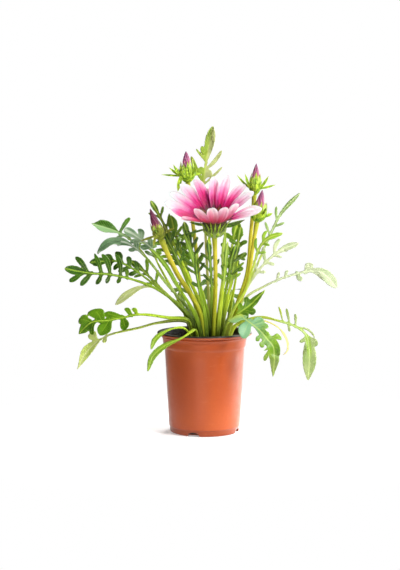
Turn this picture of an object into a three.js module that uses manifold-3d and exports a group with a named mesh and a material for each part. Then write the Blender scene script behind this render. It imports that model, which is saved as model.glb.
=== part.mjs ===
// A gazania in its 10 cm nursery pot: one open bloom, four buds and a rosette of lobed leaves.
// Millimetres, +Z up. The origin is the middle of the pot's flat base, where it rests.
import * as THREE from "three";
import { mergeVertices } from "three/addons/utils/BufferGeometryUtils.js";
import Module from "manifold-3d";

// ---------------------------------------------------------------- driving dimensions
const POT_HEIGHT = 106;
const RIM_RADIUS = 50; // outside of the rolled rim
const RIM_DEPTH = 2.8; // height of the rolled rim
const BAND_RADIUS = 44.6; // wall just under the rim
const BAND_STEP = 91; // height where the upper band steps in
const WALL_RADIUS = 42; // wall just under that step
const FOOT_RADIUS = 36.8;
const FOOT_HEIGHT = 6;
const WALL = 1.3; // thickness of the pot's plastic
const BASE = 1.8; // thickness of its floor
const POT_SIDES = 30;
const NOTCHES = [-19, 71, 161, 251]; // drainage notches, degrees from the front (-Y) towards +X
const NOTCH_WIDTH = 13;
const NOTCH_HEIGHT = 4.2;
const NOTCH_REACH = 8; // how far a notch reaches in from the foot's outside

const SOIL_TOP = 99.5; // mean height of the peat
const GAP = 0.35; // clearance between pieces that touch
const HOLE_GAP = 0.75; // clearance of a stem in its square hole, before the stem's own bend
const FIRST_STEP = 13; // length of a stem's first straight stretch, which ends above the soil
const ROOT_DEPTH = 93; // height where every stem ends in the soil
const CROWN_X = 6; // middle of the crown that the stems come from
const CROWN_PINCH = 0.62; // how far the stems' feet are drawn in towards it, sideways
const CROWN_TOP = 160; // height above which they aren't drawn in
const CROWN_REACH = [25, 55]; // and neither is what lies as far out as this

const SCAPE_RADIUS = 2.4; // flower stem of the bloom
const BUD_SCAPE_RADIUS = 2;
const BLOOM_ROUTE = [[10, -5, 93], [11.5, -7, 150], [11, -7.5, 188], [10.3, -9, 206.5]];
const BLOOM_SEAT = BLOOM_ROUTE.at(-1); // top of the bloom's stem
const BLOOM_TILT = 20; // degrees, towards the front
const BLADE = 0.35; // half the thickness of a leaf blade or petal at its edge
const MIDRIB = 0.9; // half the thickness at its middle
const STALK_EDGE = 0.75; // half the thickness of a petiole's edge
const SLIVER = 0.08; // detail finer than this is dropped where pieces are fused

// ---------------------------------------------------------------- helpers
const wasm = await Module();
wasm.setup();
const radians = THREE.MathUtils.degToRad;
const mix = THREE.MathUtils.lerp;

// A number from 0 to 1 that is always the same for the same seed and step.
function draw(seed, step) {
  const value = Math.sin(seed * 78.233 + step * 12.9898) * 43758.5453;
  return value - Math.floor(value);
}

// A closed geometry as a solid that can be cut and joined.
function solidOf(geometry) {
  const bare = geometry.clone();
  bare.deleteAttribute("normal");
  bare.deleteAttribute("uv");
  const merged = mergeVertices(bare, 1e-4);
  const corners = merged.index.array;
  const kept = [];
  for (let i = 0; i < corners.length; i += 3) {
    const [a, b, c] = corners.slice(i, i + 3);
    if (a !== b && b !== c && c !== a) kept.push(a, b, c);
  }
  return new wasm.Manifold(
    new wasm.Mesh({
      numProp: 3,
      vertProperties: new Float32Array(merged.attributes.position.array),
      triVerts: new Uint32Array(kept),
    }),
  );
}

function geometryOf(solid) {
  const { vertProperties, triVerts } = solid.getMesh();
  const geometry = new THREE.BufferGeometry();
  geometry.setAttribute("position", new THREE.BufferAttribute(vertProperties, 3));
  geometry.setIndex(new THREE.BufferAttribute(triVerts, 1));
  return geometry;
}

// Pieces fused into one body, with any hollow that this seals filled.
function joined(geometries) {
  const fused = geometries.map(solidOf).reduce((all, next) => all.add(next));
  const larger = (best, body) => (body.volume() > best.volume() ? body : best);
  return fused.decompose().reduce(larger).simplify(SLIVER);
}

function geometryFrom(places, corners) {
  const geometry = new THREE.BufferGeometry();
  geometry.setAttribute("position", new THREE.Float32BufferAttribute(places.flat(), 3));
  geometry.setIndex(corners);
  return geometry;
}

// A body turned about +Z from a profile of [radius, height] pairs.
function turned(profile, sides) {
  const outline = profile.map(([radius, height]) => new THREE.Vector2(radius, height));
  return new THREE.LatheGeometry(outline, sides).rotateX(Math.PI / 2);
}

// A stem's route with its points near the crown drawn in towards the crown's middle.
function gathered(route) {
  return route.map(([x, y, z]) => {
    const height = THREE.MathUtils.smoothstep(z, ROOT_DEPTH, CROWN_TOP);
    const outside = THREE.MathUtils.smoothstep(Math.abs(x - CROWN_X), ...CROWN_REACH);
    return [mix(CROWN_X, x, mix(CROWN_PINCH, 1, Math.max(height, outside))), y, z];
  });
}

// A smooth line through hand-set points. at(s) gives the place s mm along it, the way it runs
// there, the way its face looks (face blends from the first vector to the second) and its left.
function spine(points, face = [[0, 0, 1], [0, 0, 1]]) {
  const places = points.map((point) => new THREE.Vector3(...point));
  const curve = new THREE.CatmullRomCurve3(places, false, "centripetal");
  const length = curve.getLength();
  const [first, last] = face.map((way) => new THREE.Vector3(...way));
  function at(s) {
    const share = THREE.MathUtils.clamp(s / length, 0, 1);
    const along = curve.getTangentAt(share);
    const place = curve.getPointAt(share).addScaledVector(along, s - share * length);
    const up = first.clone().lerp(last, share);
    up.addScaledVector(along, -up.dot(along)).normalize();
    return { place, along, up, left: up.clone().cross(along) };
  }
  return { length, at };
}

const placed = ({ place, up, left }, across, above) =>
  place.clone().addScaledVector(left, across).addScaledVector(up, above).toArray();

// The closed skin over a row of rings that all have the same number of corners.
function skinned(rings) {
  const sides = rings[0].length;
  const corners = [];
  for (let ring = 0; ring + 1 < rings.length; ring++)
    for (let side = 0; side < sides; side++) {
      const here = ring * sides + side;
      const beside = ring * sides + ((side + 1) % sides);
      corners.push(here, beside, here + sides, beside, beside + sides, here + sides);
    }
  const last = (rings.length - 1) * sides;
  for (let side = 1; side + 1 < sides; side++) {
    corners.push(0, side + 1, side);
    corners.push(last, last + side, last + side + 1);
  }
  return geometryFrom(rings.flat(), corners);
}

// A round stem along a spine. radius(s) may change along it.
function stem(line, radius, from, to, steps, sides = 6) {
  const rings = [];
  for (let step = 0; step <= steps; step++) {
    const further = mix(FIRST_STEP, to, (step - 1) / Math.max(1, steps - 1));
    const s = steps > 1 && step ? further : mix(from, to, step);
    const frame = line.at(s);
    const ring = [];
    for (let side = 0; side < sides; side++) {
      const turn = (2 * Math.PI * side) / sides;
      ring.push(placed(frame, radius(s) * Math.cos(turn), radius(s) * Math.sin(turn)));
    }
    rings.push(ring);
  }
  return skinned(rings);
}

// The six corners of a flat strip's section: left edge, ridge and right edge, then back below.
function stripRing(frame, half, edge, ridge, lift = 0) {
  return [
    placed(frame, half, edge + lift),
    placed(frame, 0, edge),
    placed(frame, -half, edge + lift),
    placed(frame, -half, lift - edge),
    placed(frame, 0, -ridge),
    placed(frame, half, lift - edge),
  ];
}

// A plain blade from a table of [share of length, share of half width]. Its edges rise by fold.
function blade(line, halfWidth, outline, fold = 0.15, ridge = MIDRIB) {
  const rings = outline.map(([share, width]) => {
    const half = Math.max(halfWidth * width, 0.5);
    return stripRing(line.at(line.length * share), half, BLADE, ridge, half * fold);
  });
  return skinned(rings);
}

// A small bract: as a blade, but its edges are sharp, so that it takes fewer faces.
function bract(line, halfWidth, outline, thick = 0.5) {
  const rings = outline.map(([share, width]) => {
    const frame = line.at(line.length * share);
    const half = Math.max(halfWidth * width, 0.3);
    const middle = thick * Math.min(1, width + 0.3);
    const section = [[half, 0], [0, middle], [-half, 0], [0, -middle]];
    return section.map(([across, above]) => placed(frame, across, above));
  });
  return skinned(rings);
}

// ---------------------------------------------------------------- pot
function potProfile() {
  const top = POT_HEIGHT;
  const under = top - RIM_DEPTH;
  const inside = BAND_RADIUS - WALL;
  return [
    [0, 0],
    [FOOT_RADIUS - 0.5, 0],
    [FOOT_RADIUS, FOOT_HEIGHT - 0.3],
    [FOOT_RADIUS + 0.8, FOOT_HEIGHT + 0.6],
    [WALL_RADIUS, BAND_STEP - 2.5],
    [BAND_RADIUS - 1.3, BAND_STEP],
    [BAND_RADIUS - 0.2, under - 3.4],
    [BAND_RADIUS + 0.7, under - 2.3],
    [BAND_RADIUS, under],
    [RIM_RADIUS - 0.6, under - 0.2],
    [RIM_RADIUS, under + 0.8],
    [RIM_RADIUS - 0.1, top - 0.9],
    [RIM_RADIUS - 1.1, top],
    [inside + 1.4, top - 0.1],
    [inside, top - 1.6],
    [BAND_RADIUS - 1.3 - WALL, BAND_STEP - 0.5],
    [WALL_RADIUS - WALL, BAND_STEP - 3],
    [FOOT_RADIUS + 0.8 - WALL, FOOT_HEIGHT + 0.9],
    [FOOT_RADIUS - WALL, BASE],
    [0, BASE],
  ];
}

// The arch that one drainage notch takes out of the wall and the floor at the base's corner.
function notchTool(degrees) {
  const half = NOTCH_WIDTH / 2;
  const arch = new THREE.Shape();
  arch.moveTo(-half, -1);
  arch.lineTo(half, -1);
  arch.lineTo(half * 0.86, NOTCH_HEIGHT * 0.55);
  arch.lineTo(half * 0.55, NOTCH_HEIGHT);
  arch.lineTo(-half * 0.55, NOTCH_HEIGHT);
  arch.lineTo(-half * 0.86, NOTCH_HEIGHT * 0.55);
  const tool = new THREE.ExtrudeGeometry(arch, { depth: NOTCH_REACH + 4, bevelEnabled: false });
  tool.rotateX(Math.PI / 2);
  tool.translate(0, NOTCH_REACH - FOOT_RADIUS, 0);
  return tool.rotateZ(radians(degrees));
}

function pot() {
  let body = solidOf(turned(potProfile(), POT_SIDES));
  for (const degrees of NOTCHES) body = body.subtract(solidOf(notchTool(degrees)));
  return geometryOf(body);
}

// ---------------------------------------------------------------- soil
// Height of the peat's crumbly top at a place.
function soilHeight(x, y) {
  const dome = 1.6 * (1 - (x * x + y * y) / (40 * 40));
  const crumbs = 0.7 * Math.sin(x * 0.31 + 1.3) * Math.cos(y * 0.27 - 0.4);
  return SOIL_TOP + dome + crumbs + 0.4 * Math.sin(x * 0.83 + y * 0.71);
}

function soil(holes) {
  const sides = 20;
  const inside = BAND_RADIUS - WALL - 1.2;
  const bed = [
    [FOOT_RADIUS - WALL - GAP - 0.4, BASE + GAP],
    [FOOT_RADIUS + 0.8 - WALL - GAP - 0.3, FOOT_HEIGHT + 1.2],
    [WALL_RADIUS - WALL - GAP - 0.3, BAND_STEP - 3.2],
  ];
  const rings = bed.map(([radius, height]) =>
    Array.from({ length: sides }, (_, side) => {
      const turn = (2 * Math.PI * side) / sides;
      return [radius * Math.cos(turn), radius * Math.sin(turn), height];
    }),
  );
  for (const radius of [inside - 0.6, 24])
    rings.push(
      Array.from({ length: sides }, (_, side) => {
        const turn = (2 * Math.PI * side) / sides;
        const [x, y] = [radius * Math.cos(turn), radius * Math.sin(turn)];
        return [x, y, soilHeight(x, y)];
      }),
    );
  const places = rings.flat();
  const corners = [];
  for (let ring = 0; ring + 1 < rings.length; ring++)
    for (let side = 0; side < sides; side++) {
      const here = ring * sides + side;
      const beside = ring * sides + ((side + 1) % sides);
      corners.push(here, beside, here + sides, beside, beside + sides, here + sides);
    }
  const bottom = places.push([0, 0, BASE + GAP]) - 1;
  const top = places.push([0, 0, soilHeight(0, 0)]) - 1;
  const lastRing = (rings.length - 1) * sides;
  for (let side = 0; side < sides; side++) {
    const next = (side + 1) % sides;
    corners.push(bottom, next, side);
    corners.push(top, lastRing + side, lastRing + next);
  }
  let body = solidOf(geometryFrom(places, corners));
  for (const hole of holes) body = body.subtract(solidOf(hole));
  return geometryOf(body.simplify(SLIVER));
}

// The plain hole that a stem of this half width stands in. Its stem is straight as far up.
const holeFor = (line, half) =>
  stem(line, () => (half + HOLE_GAP) * Math.SQRT2, -GAP, FIRST_STEP, 1, 4);

// ---------------------------------------------------------------- leaves
// One leaf: route from its foot in the soil to its tip; face, the way its upper side looks at
// the foot and at the tip; stalk, half the width of its petiole; blade, the length that carries
// lobes, measured back from the tip; end, the length and half width of the last lobe, and where
// it isn't round its taper, up to 1.5 for a long pointed one. Its side lobes are either a list of
// [distance back from the tip, side, length, width, angle], with side 1 for left and -1 for
// right, or pairs: [how many, longest, width, angle].
const UP = [[0, 0, 1], [0, 0, 1]];
const TOWARDS_FRONT = [[0, -1, 0.6], [0, -1, 0.3]];
const LEAVES = {
  leaf_left_1: {
    route: [[-13, -9, 93], [-22, -13, 124], [-47, -20, 151], [-70, -26, 162], [-100, -30, 169],
      [-116, -32, 170], [-144, -34, 175]],
    face: [[0, -0.5, 1], [0.1, -1, 0.4]],
    stalk: 1.5, blade: 70, end: [25, 4.6],
    lobes: [[17, 1, 13, 6, 50], [23, -1, 19, 6.4, 50], [27, 1, 16, 5.6, 60], [38, -1, 23, 5.6, 80],
      [38, 1, 12, 5, 75], [47, -1, 23, 5.4, 78], [47, 1, 10, 4.6, 75], [58, -1, 25, 5.4, 85],
      [58, 1, 8, 4.4, 80], [65, -1, 10, 4.4, 80]],
  },
  leaf_left_2: {
    route: [[-21, -15, 93], [-23, -21, 120], [-41, -28, 124], [-67, -34, 128], [-83, -37, 125],
      [-99, -39, 122], [-116, -40, 120], [-129, -41, 108]],
    face: [[0, -0.4, 1], [0, -0.8, 0.7]],
    stalk: 1.7, blade: 68, end: [20, 5.6, 1],
    lobes: [[15, -1, 9, 9, 60], [20, 1, 15, 8, 48], [28, -1, 16, 13, 72], [35, 1, 19, 13, 66],
      [48, -1, 19, 9, 36], [50, 1, 16, 9, 94], [59, -1, 11, 6, 78], [65, -1, 9, 5, 85]],
  },
  leaf_left_3: {
    route: [[-21, 14, 93], [-27, 18, 114], [-50, 26, 112], [-70, 32, 106], [-105, 40, 96],
      [-126, 44, 80], [-139, 45, 58]],
    face: [[0, -0.3, 1], [0.3, -0.7, 0.7]],
    stalk: 1.5, blade: 62, end: [44, 5.2, 1.3],
    lobes: [[38, -1, 12, 9, 85], [50, 1, 7, 6, 60]],
  },
  leaf_left_4: {
    route: [[-8, 15, 93], [-15, 17, 118], [-37, 20, 150], [-58, 24, 177], [-78, 29, 200],
      [-93, 31, 209], [-121, 34, 218]],
    face: [[0, -0.4, 1], [0, -1, 0.6]],
    stalk: 1.3, blade: 48, end: [30, 6, 1.1],
    lobes: [[32, -1, 22, 4.6, 88], [36, 1, 8, 4, 60], [43, -1, 9, 4, 70]],
  },
  leaf_left_5: {
    route: [[-12, 0, 93], [-19, 2, 124], [-42, 4, 158], [-60, 6, 182], [-79, 7, 197],
      [-96, 8, 199], [-113, 8, 187]],
    face: [[0, -0.4, 1], [0, -0.7, 0.8]],
    stalk: 1.3, blade: 54, end: [42, 7.6],
    lobes: [[46, -1, 9, 6, 60], [46, 1, 9, 6, 60]],
  },
  leaf_left_6: {
    route: [[-9, 7, 93], [-13, 8, 121], [-30, 12, 153], [-50, 16, 186], [-71, 19, 204],
      [-86, 21, 211]],
    face: [[0, -0.4, 1], [0, -0.8, 0.8]],
    stalk: 1.3, blade: 40, end: [18, 5],
    pairs: [2, 12, 7, 60],
  },
  leaf_left_7: {
    route: [[-19, -4, 93], [-21, -5, 117], [-41, -7, 144], [-61, -9, 163], [-75, -10, 173],
      [-93, -11, 181], [-120, -12, 178]],
    face: [[0, -0.3, 1], [0, -0.9, 0.7]],
    stalk: 1.3, blade: 58, end: [22, 5],
    pairs: [4, 13, 6, 65],
  },
  leaf_left_8: {
    route: [[-14, 21, 93], [-31, 26, 128], [-52, 36, 148], [-66, 40, 149], [-81, 43, 142],
      [-97, 45, 129]],
    face: [[0, -0.7, 1], [0, -1, 0.6]],
    stalk: 1.2, blade: 44, end: [40, 4.4],
    lobes: [],
  },
  leaf_front_1: {
    route: [[-10, -27, 93], [-16, -36, 112], [-22, -46, 112], [-32, -54, 106], [-43, -57, 98],
      [-53, -58, 87], [-58, -58, 72]],
    face: [[0, -0.2, 1], [0, -1, 0.2]],
    stalk: 1.2, blade: 56, end: [50, 3.2],
    lobes: [],
  },
  leaf_front_2: {
    route: [[-22, -22, 93], [-25, -26, 105], [-31, -34, 114], [-38, -40, 114], [-44, -43, 110],
      [-51, -46, 103], [-55, -47, 93]],
    face: [[0, -0.2, 1], [0, -1, 0.3]],
    stalk: 1, blade: 32, end: [28, 2.4],
    lobes: [],
  },
  leaf_right_1: {
    route: [[29, -18, 93], [34, -25, 115], [42, -36, 128], [48, -44, 124], [57, -48, 113],
      [64, -50, 104], [70, -51, 96], [69, -52, 66]],
    face: [[0, -0.6, 1], [0.3, -1, 0.3]],
    stalk: 1.6, blade: 80, end: [60, 6.2, 1.1],
    lobes: [[27, -1, 12, 4.4, 24], [33, -1, 6, 5, 62], [38, 1, 8, 6, 62], [41, -1, 6, 5, 75],
      [48, -1, 7, 5, 80], [56, 1, 10, 7, 58], [63, 1, 13, 8, 70], [66, -1, 19, 12, 80],
      [75, -1, 15, 11, 112]],
  },
  leaf_right_2: {
    route: [[35, -13, 93], [41, -10, 112], [58, -9, 122], [80, -14, 118], [97, -18, 112],
      [106, -20, 104], [109, -21, 87], [108, -22, 57]],
    face: [[0, -0.4, 1], [0, -1, 0.3]],
    stalk: 1.5, blade: 82, end: [48, 7.2, 0.95],
    lobes: [[43, 1, 9, 6, 45], [46, -1, 8, 5, 60], [58, 1, 16, 2.2, 32], [63, 1, 14, 2.6, 112],
      [70, 1, 19, 2.8, 116], [77, 1, 20, 2.2, 124], [70, -1, 9, 3, 60]],
  },
  leaf_right_3: {
    route: [[35, 4, 93], [39, 7, 109], [50, 10, 116], [62, 12, 116], [75, 11, 111], [82, 10, 105],
      [88, 9, 94], [88, 8, 84], [83, 8, 79]],
    face: [[0, -0.5, 1], [0, -1, 0.2]],
    stalk: 0.8, blade: 30, end: [28, 0.7],
    lobes: [],
  },
  leaf_right_4: {
    route: [[31, 1, 93], [38, 0, 123], [47, -2, 143], [60, -6, 153], [74, -10, 160],
      [89, -13, 166], [114, -16, 171], [126, -17, 165], [136, -18, 153]],
    face: [[0, -0.4, 1], [0, -1, 0.35]],
    stalk: 1.4, blade: 84, end: [34, 6.4],
    lobes: [[37, 1, 9, 8, 60], [47, -1, 9, 6, 80], [60, 1, 7, 3.6, 60], [69, 1, 8, 3.6, 60]],
  },
  leaf_right_5: {
    route: [[26, 17, 93], [37, 16, 123], [44, 16, 144], [50, 17, 158], [63, 19, 175],
      [80, 21, 189], [101, 23, 197]],
    face: [[0, -0.4, 1], [0, -1, 0.6]],
    stalk: 1.3, blade: 66, end: [26, 4],
    lobes: [[28, 1, 17, 4.4, 55], [29, -1, 8, 3.8, 55], [41, 1, 17, 4.2, 60], [41, -1, 9, 3.8, 60],
      [54, 1, 12, 3.8, 60], [54, -1, 8, 3.6, 60]],
  },
  leaf_right_6: {
    route: [[17, 22, 93], [33, 22, 118], [43, 26, 142], [53, 29, 166], [71, 33, 207],
      [82, 35, 228], [103, 36, 250]],
    face: [[0, -0.5, 1], [0, -1, 0.4]],
    stalk: 1.2, blade: 68, end: [34, 2.4],
    lobes: [[37, 1, 13, 3, 38], [45, -1, 11, 3, 45], [55, 1, 14, 3, 42], [60, -1, 10, 3, 50]],
  },
  leaf_right_7: {
    route: [[24, -15, 93], [34, -15, 128], [43, -15, 151], [51, -16, 177], [58, -17, 197],
      [67, -18, 206], [81, -19, 211]],
    face: [[0, -0.4, 1], [0, -1, 0.7]],
    stalk: 1.2, blade: 44, end: [22, 2.8],
    lobes: [[22, 1, 11, 3.4, 48], [24, -1, 8, 3.4, 55], [33, 1, 12, 3.4, 50], [35, -1, 8, 3.2, 60]],
  },
  leaf_right_8: {
    route: [[16, 8, 93], [23, 9, 130], [30, 10, 160], [34, 10, 184], [36, 10, 202],
      [39, 10, 216]],
    face: [[0, -0.8, 0.6], [-0.4, -1, 0.4]],
    stalk: 1.3, blade: 56, end: [16, 3.6],
    pairs: [3, 12, 5, 60],
  },
  leaf_top: {
    route: [[6, 25, 93], [5, 32, 125], [3, 41, 168], [1, 44, 211], [-1, 45, 255],
      [2, 44, 285], [9, 41, 322]],
    face: [[0, -1, 0.4], [0, -1, 0.3]],
    stalk: 1.5, blade: 76, end: [38, 5.2],
    lobes: [[51, 1, 7, 7, 50], [33, 1, 11, 4.4, 34], [54, -1, 8, 8, 50], [60, 1, 29, 4.8, 35],
      [69, 1, 10, 6, 42], [46, -1, 25, 4.6, 46], [38, 1, 16, 2.4, 46], [62, -1, 26, 2.8, 46]],
  },
  leaf_clump_1: {
    route: [[-4, -5, 93], [-9, -6, 128], [-19, -7, 160], [-30, -8, 186], [-38, -8, 202],
      [-46, -8, 217]],
    face: TOWARDS_FRONT, stalk: 1.2, blade: 50, end: [17, 3], pairs: [3, 16, 3.8, 50],
  },
  leaf_clump_2: {
    route: [[-2, 4, 93], [-5, 5, 128], [-17, 8, 160], [-32, 9, 186], [-45, 10, 203],
      [-53, 10, 212]],
    face: TOWARDS_FRONT, stalk: 1.2, blade: 50, end: [16, 3.2], pairs: [4, 15, 3.8, 50],
  },
  leaf_clump_3: {
    route: [[5, 13, 93], [1, 18, 128], [-8, 24, 165], [-16, 28, 195], [-22, 31, 220]],
    face: TOWARDS_FRONT, stalk: 1.3, blade: 56, end: [18, 3.4], pairs: [4, 15, 3.4, 48],
  },
  leaf_clump_4: {
    route: [[3, 2, 93], [0, 3, 130], [-8, 2, 165], [-13, 1, 190], [-19, -1, 214]],
    face: TOWARDS_FRONT, stalk: 1.3, blade: 54, end: [17, 3.4], pairs: [4, 15, 3.2, 48],
  },
  leaf_clump_5: {
    route: [[17, -17, 93], [18, -21, 125], [20, -22, 160], [22, -22, 185], [24, -22, 203]],
    face: TOWARDS_FRONT, stalk: 1.4, blade: 48, end: [40, 2], pairs: [1, 8, 4, 50],
  },
  leaf_clump_6: {
    route: [[23, 3, 93], [25, 3, 130], [28, 3, 160], [32, 2, 182], [36, 2, 200]],
    face: TOWARDS_FRONT, stalk: 1.3, blade: 46, end: [17, 2.5], pairs: [3, 14, 2.8, 46],
  },
  leaf_clump_7: {
    route: [[1, -22, 93], [-1, -26, 125], [-5, -28, 150], [-8, -29, 172], [-9, -30, 192]],
    face: TOWARDS_FRONT, stalk: 1.4, blade: 44, end: [34, 2], pairs: [1, 8, 4, 50],
  },
  leaf_clump_8: {
    route: [[9, 4, 93], [8, 5, 130], [7, 6, 165], [4, 7, 203]],
    face: TOWARDS_FRONT, stalk: 1.3, blade: 52, end: [19, 2.6], pairs: [3, 13, 3, 46],
  },
  leaf_clump_9: {
    route: [[-16, 6, 93], [-22, 7, 117], [-38, 9, 139], [-52, 11, 156], [-66, 12, 170],
      [-79, 13, 179]],
    face: TOWARDS_FRONT, stalk: 1.2, blade: 44, end: [18, 3.4], pairs: [2, 14, 3.6, 54],
  },
  leaf_clump_10: {
    route: [[18, -4, 93], [20, -4, 130], [25, -5, 160], [28, -6, 182], [33, -7, 198]],
    face: TOWARDS_FRONT, stalk: 1.3, blade: 42, end: [16, 2.5], pairs: [2, 13, 2.8, 46],
  },
  leaf_clump_11: {
    route: [[-4, 10, 93], [-6, 12, 128], [-15, 18, 160], [-24, 22, 188], [-32, 25, 210],
      [-36, 27, 227]],
    face: TOWARDS_FRONT, stalk: 1.2, blade: 60, end: [20, 5.2, 0.9], pairs: [4, 16, 3.4, 50],
  },
  leaf_clump_12: {
    route: [[-6, -21, 93], [-12, -24, 122], [-24, -29, 150], [-36, -32, 172], [-46, -34, 186],
      [-56, -35, 196]],
    face: TOWARDS_FRONT, stalk: 1.3, blade: 48, end: [42, 2.2], lobes: [],
  },
  leaf_clump_13: {
    route: [[6, -12, 93], [3, -15, 125], [-6, -18, 160], [-14, -19, 190], [-22, -20, 212]],
    face: TOWARDS_FRONT, stalk: 1.2, blade: 52, end: [46, 1.9], lobes: [],
  },
  leaf_clump_14: {
    route: [[24, -5, 93], [30, -9, 110], [40, -13, 124], [52, -14, 136], [64, -14, 151]],
    face: TOWARDS_FRONT, stalk: 1.2, blade: 40, end: [38, 4, 1.1],
    lobes: [[25, 1, 7, 6, 40], [28, -1, 8, 7, 50], [34, 1, 7, 6, 60], [36, -1, 9, 8, 60]],
  },
  leaf_clump_15: {
    route: [[2, -8, 93], [-3, -7, 128], [-17, -3, 165], [-36, 3, 205], [-49, 8, 230],
      [-57, 10, 243]],
    face: TOWARDS_FRONT, stalk: 1.2, blade: 54, end: [16, 2.6], pairs: [3, 14, 3, 46],
  },
  leaf_clump_16: {
    route: [[16, 1, 93], [17, 1, 130], [19, 1, 165], [20, 0, 190], [22, 0, 212]],
    face: TOWARDS_FRONT, stalk: 1.2, blade: 52, end: [44, 2], lobes: [],
  },
  leaf_back_1: {
    route: [[12, 16, 93], [13, 26, 120], [8, 48, 150], [5, 72, 158], [4, 95, 146],
      [3, 112, 124]],
    face: UP, stalk: 1.5, blade: 70, end: [26, 5.5], pairs: [2, 14, 7, 62],
  },
  leaf_back_2: {
    route: [[25, 25, 93], [27, 35, 120], [31, 56, 140], [34, 76, 142], [36, 92, 130],
      [38, 104, 112]],
    face: UP, stalk: 1.4, blade: 62, end: [24, 5], pairs: [2, 12, 7, 62],
  },
  leaf_back_3: {
    route: [[1, 32, 93], [-5, 41, 122], [-18, 58, 145], [-26, 76, 150], [-31, 92, 138],
      [-33, 104, 118]],
    face: UP, stalk: 1.4, blade: 62, end: [24, 5], pairs: [2, 12, 7, 62],
  },
  leaf_back_4: {
    route: [[31, 18.5, 93], [33, 31, 125], [35, 52, 163], [36, 74, 180], [36, 94, 176],
      [35, 110, 158]],
    face: UP, stalk: 1.3, blade: 60, end: [24, 4.6], pairs: [3, 12, 6, 60],
  },
  leaf_back_5: {
    route: [[-22, 22, 93], [-30, 34, 125], [-46, 54, 165], [-60, 74, 188], [-70, 90, 194],
      [-78, 106, 188]],
    face: UP, stalk: 1.4, blade: 58, end: [24, 5], pairs: [3, 12, 7, 62],
  },
  leaf_back_6: {
    route: [[14, 30, 93], [16, 41, 114], [18, 53, 114], [20, 64, 101], [21, 70, 80],
      [21, 72, 58]],
    face: UP, stalk: 1.2, blade: 54, end: [44, 4.6], pairs: [1, 8, 6, 60],
  },
  leaf_back_7: {
    route: [[20, 14, 93], [22, 20, 128], [26, 32, 165], [30, 44, 192], [34, 56, 210],
      [38, 66, 216]],
    face: UP, stalk: 1.3, blade: 60, end: [22, 4.6], pairs: [3, 14, 6, 58],
  },
  leaf_back_8: {
    route: [[-9, 28, 93], [-13, 35, 126], [-22, 50, 165], [-30, 64, 190], [-38, 76, 203],
      [-46, 86, 206]],
    face: UP, stalk: 1.3, blade: 60, end: [22, 4.6], pairs: [3, 14, 6, 58],
  },
};

const LOBE_FOOT = 0.7; // width of a side lobe where it leaves the rib, as a share of its width
const STALK_STEP = 25; // spacing of the stations along a petiole
const WING = 1.4; // half the width of the blade along the rib between its side lobes
const FOLD = 0.2; // how steeply the blade rises from its rib
const SAG = 0.009; // how fast it droops again further out, per mm
const ROUND_TAPER = 0.75; // taper of a round last lobe, which is widest near its middle

// The side lobes of a leaf, worked out from its pairs where it has no list of its own.
function lobesOf(leaf, seed) {
  if (leaf.lobes) return leaf.lobes;
  const [count, longest, width, angle] = leaf.pairs;
  const spacing = (leaf.blade - leaf.end[0] * 0.9) / count;
  const lobes = [];
  for (let pair = 0; pair < count; pair++)
    for (const side of [1, -1]) {
      const size = 0.6 + 0.4 * Math.sin((Math.PI * (pair + 0.7)) / (count + 0.4));
      const length = longest * size * mix(0.85, 1.15, draw(seed, 4 * pair + side));
      const back = leaf.end[0] * 0.9 + spacing * (pair + 0.35);
      lobes.push([back, side, length, Math.min(width, spacing * 0.85), angle]);
    }
  return lobes;
}

// How far the blade stands above its rib's plane at this distance from the rib.
const bladeLift = (across) => FOLD * Math.abs(across) - SAG * across * across;

// Half the width of the rib, wing and last lobe at s mm from the foot.
function ribWidth(leaf, length, s) {
  const [endLength, endHalf, taper = ROUND_TAPER] = leaf.end;
  const back = length - s;
  if (back > endLength) {
    const wing = THREE.MathUtils.smoothstep(s, length - leaf.blade - 8, length - leaf.blade + 8);
    return mix(leaf.stalk, WING, wing);
  }
  const share = back / endLength;
  const swell = Math.sin(Math.PI * Math.min(1, share ** taper * 0.98 + 0.02));
  return Math.max(0.45, mix(0, WING, share) * (1 - swell * 0.3) + endHalf * swell * 0.9);
}

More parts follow.
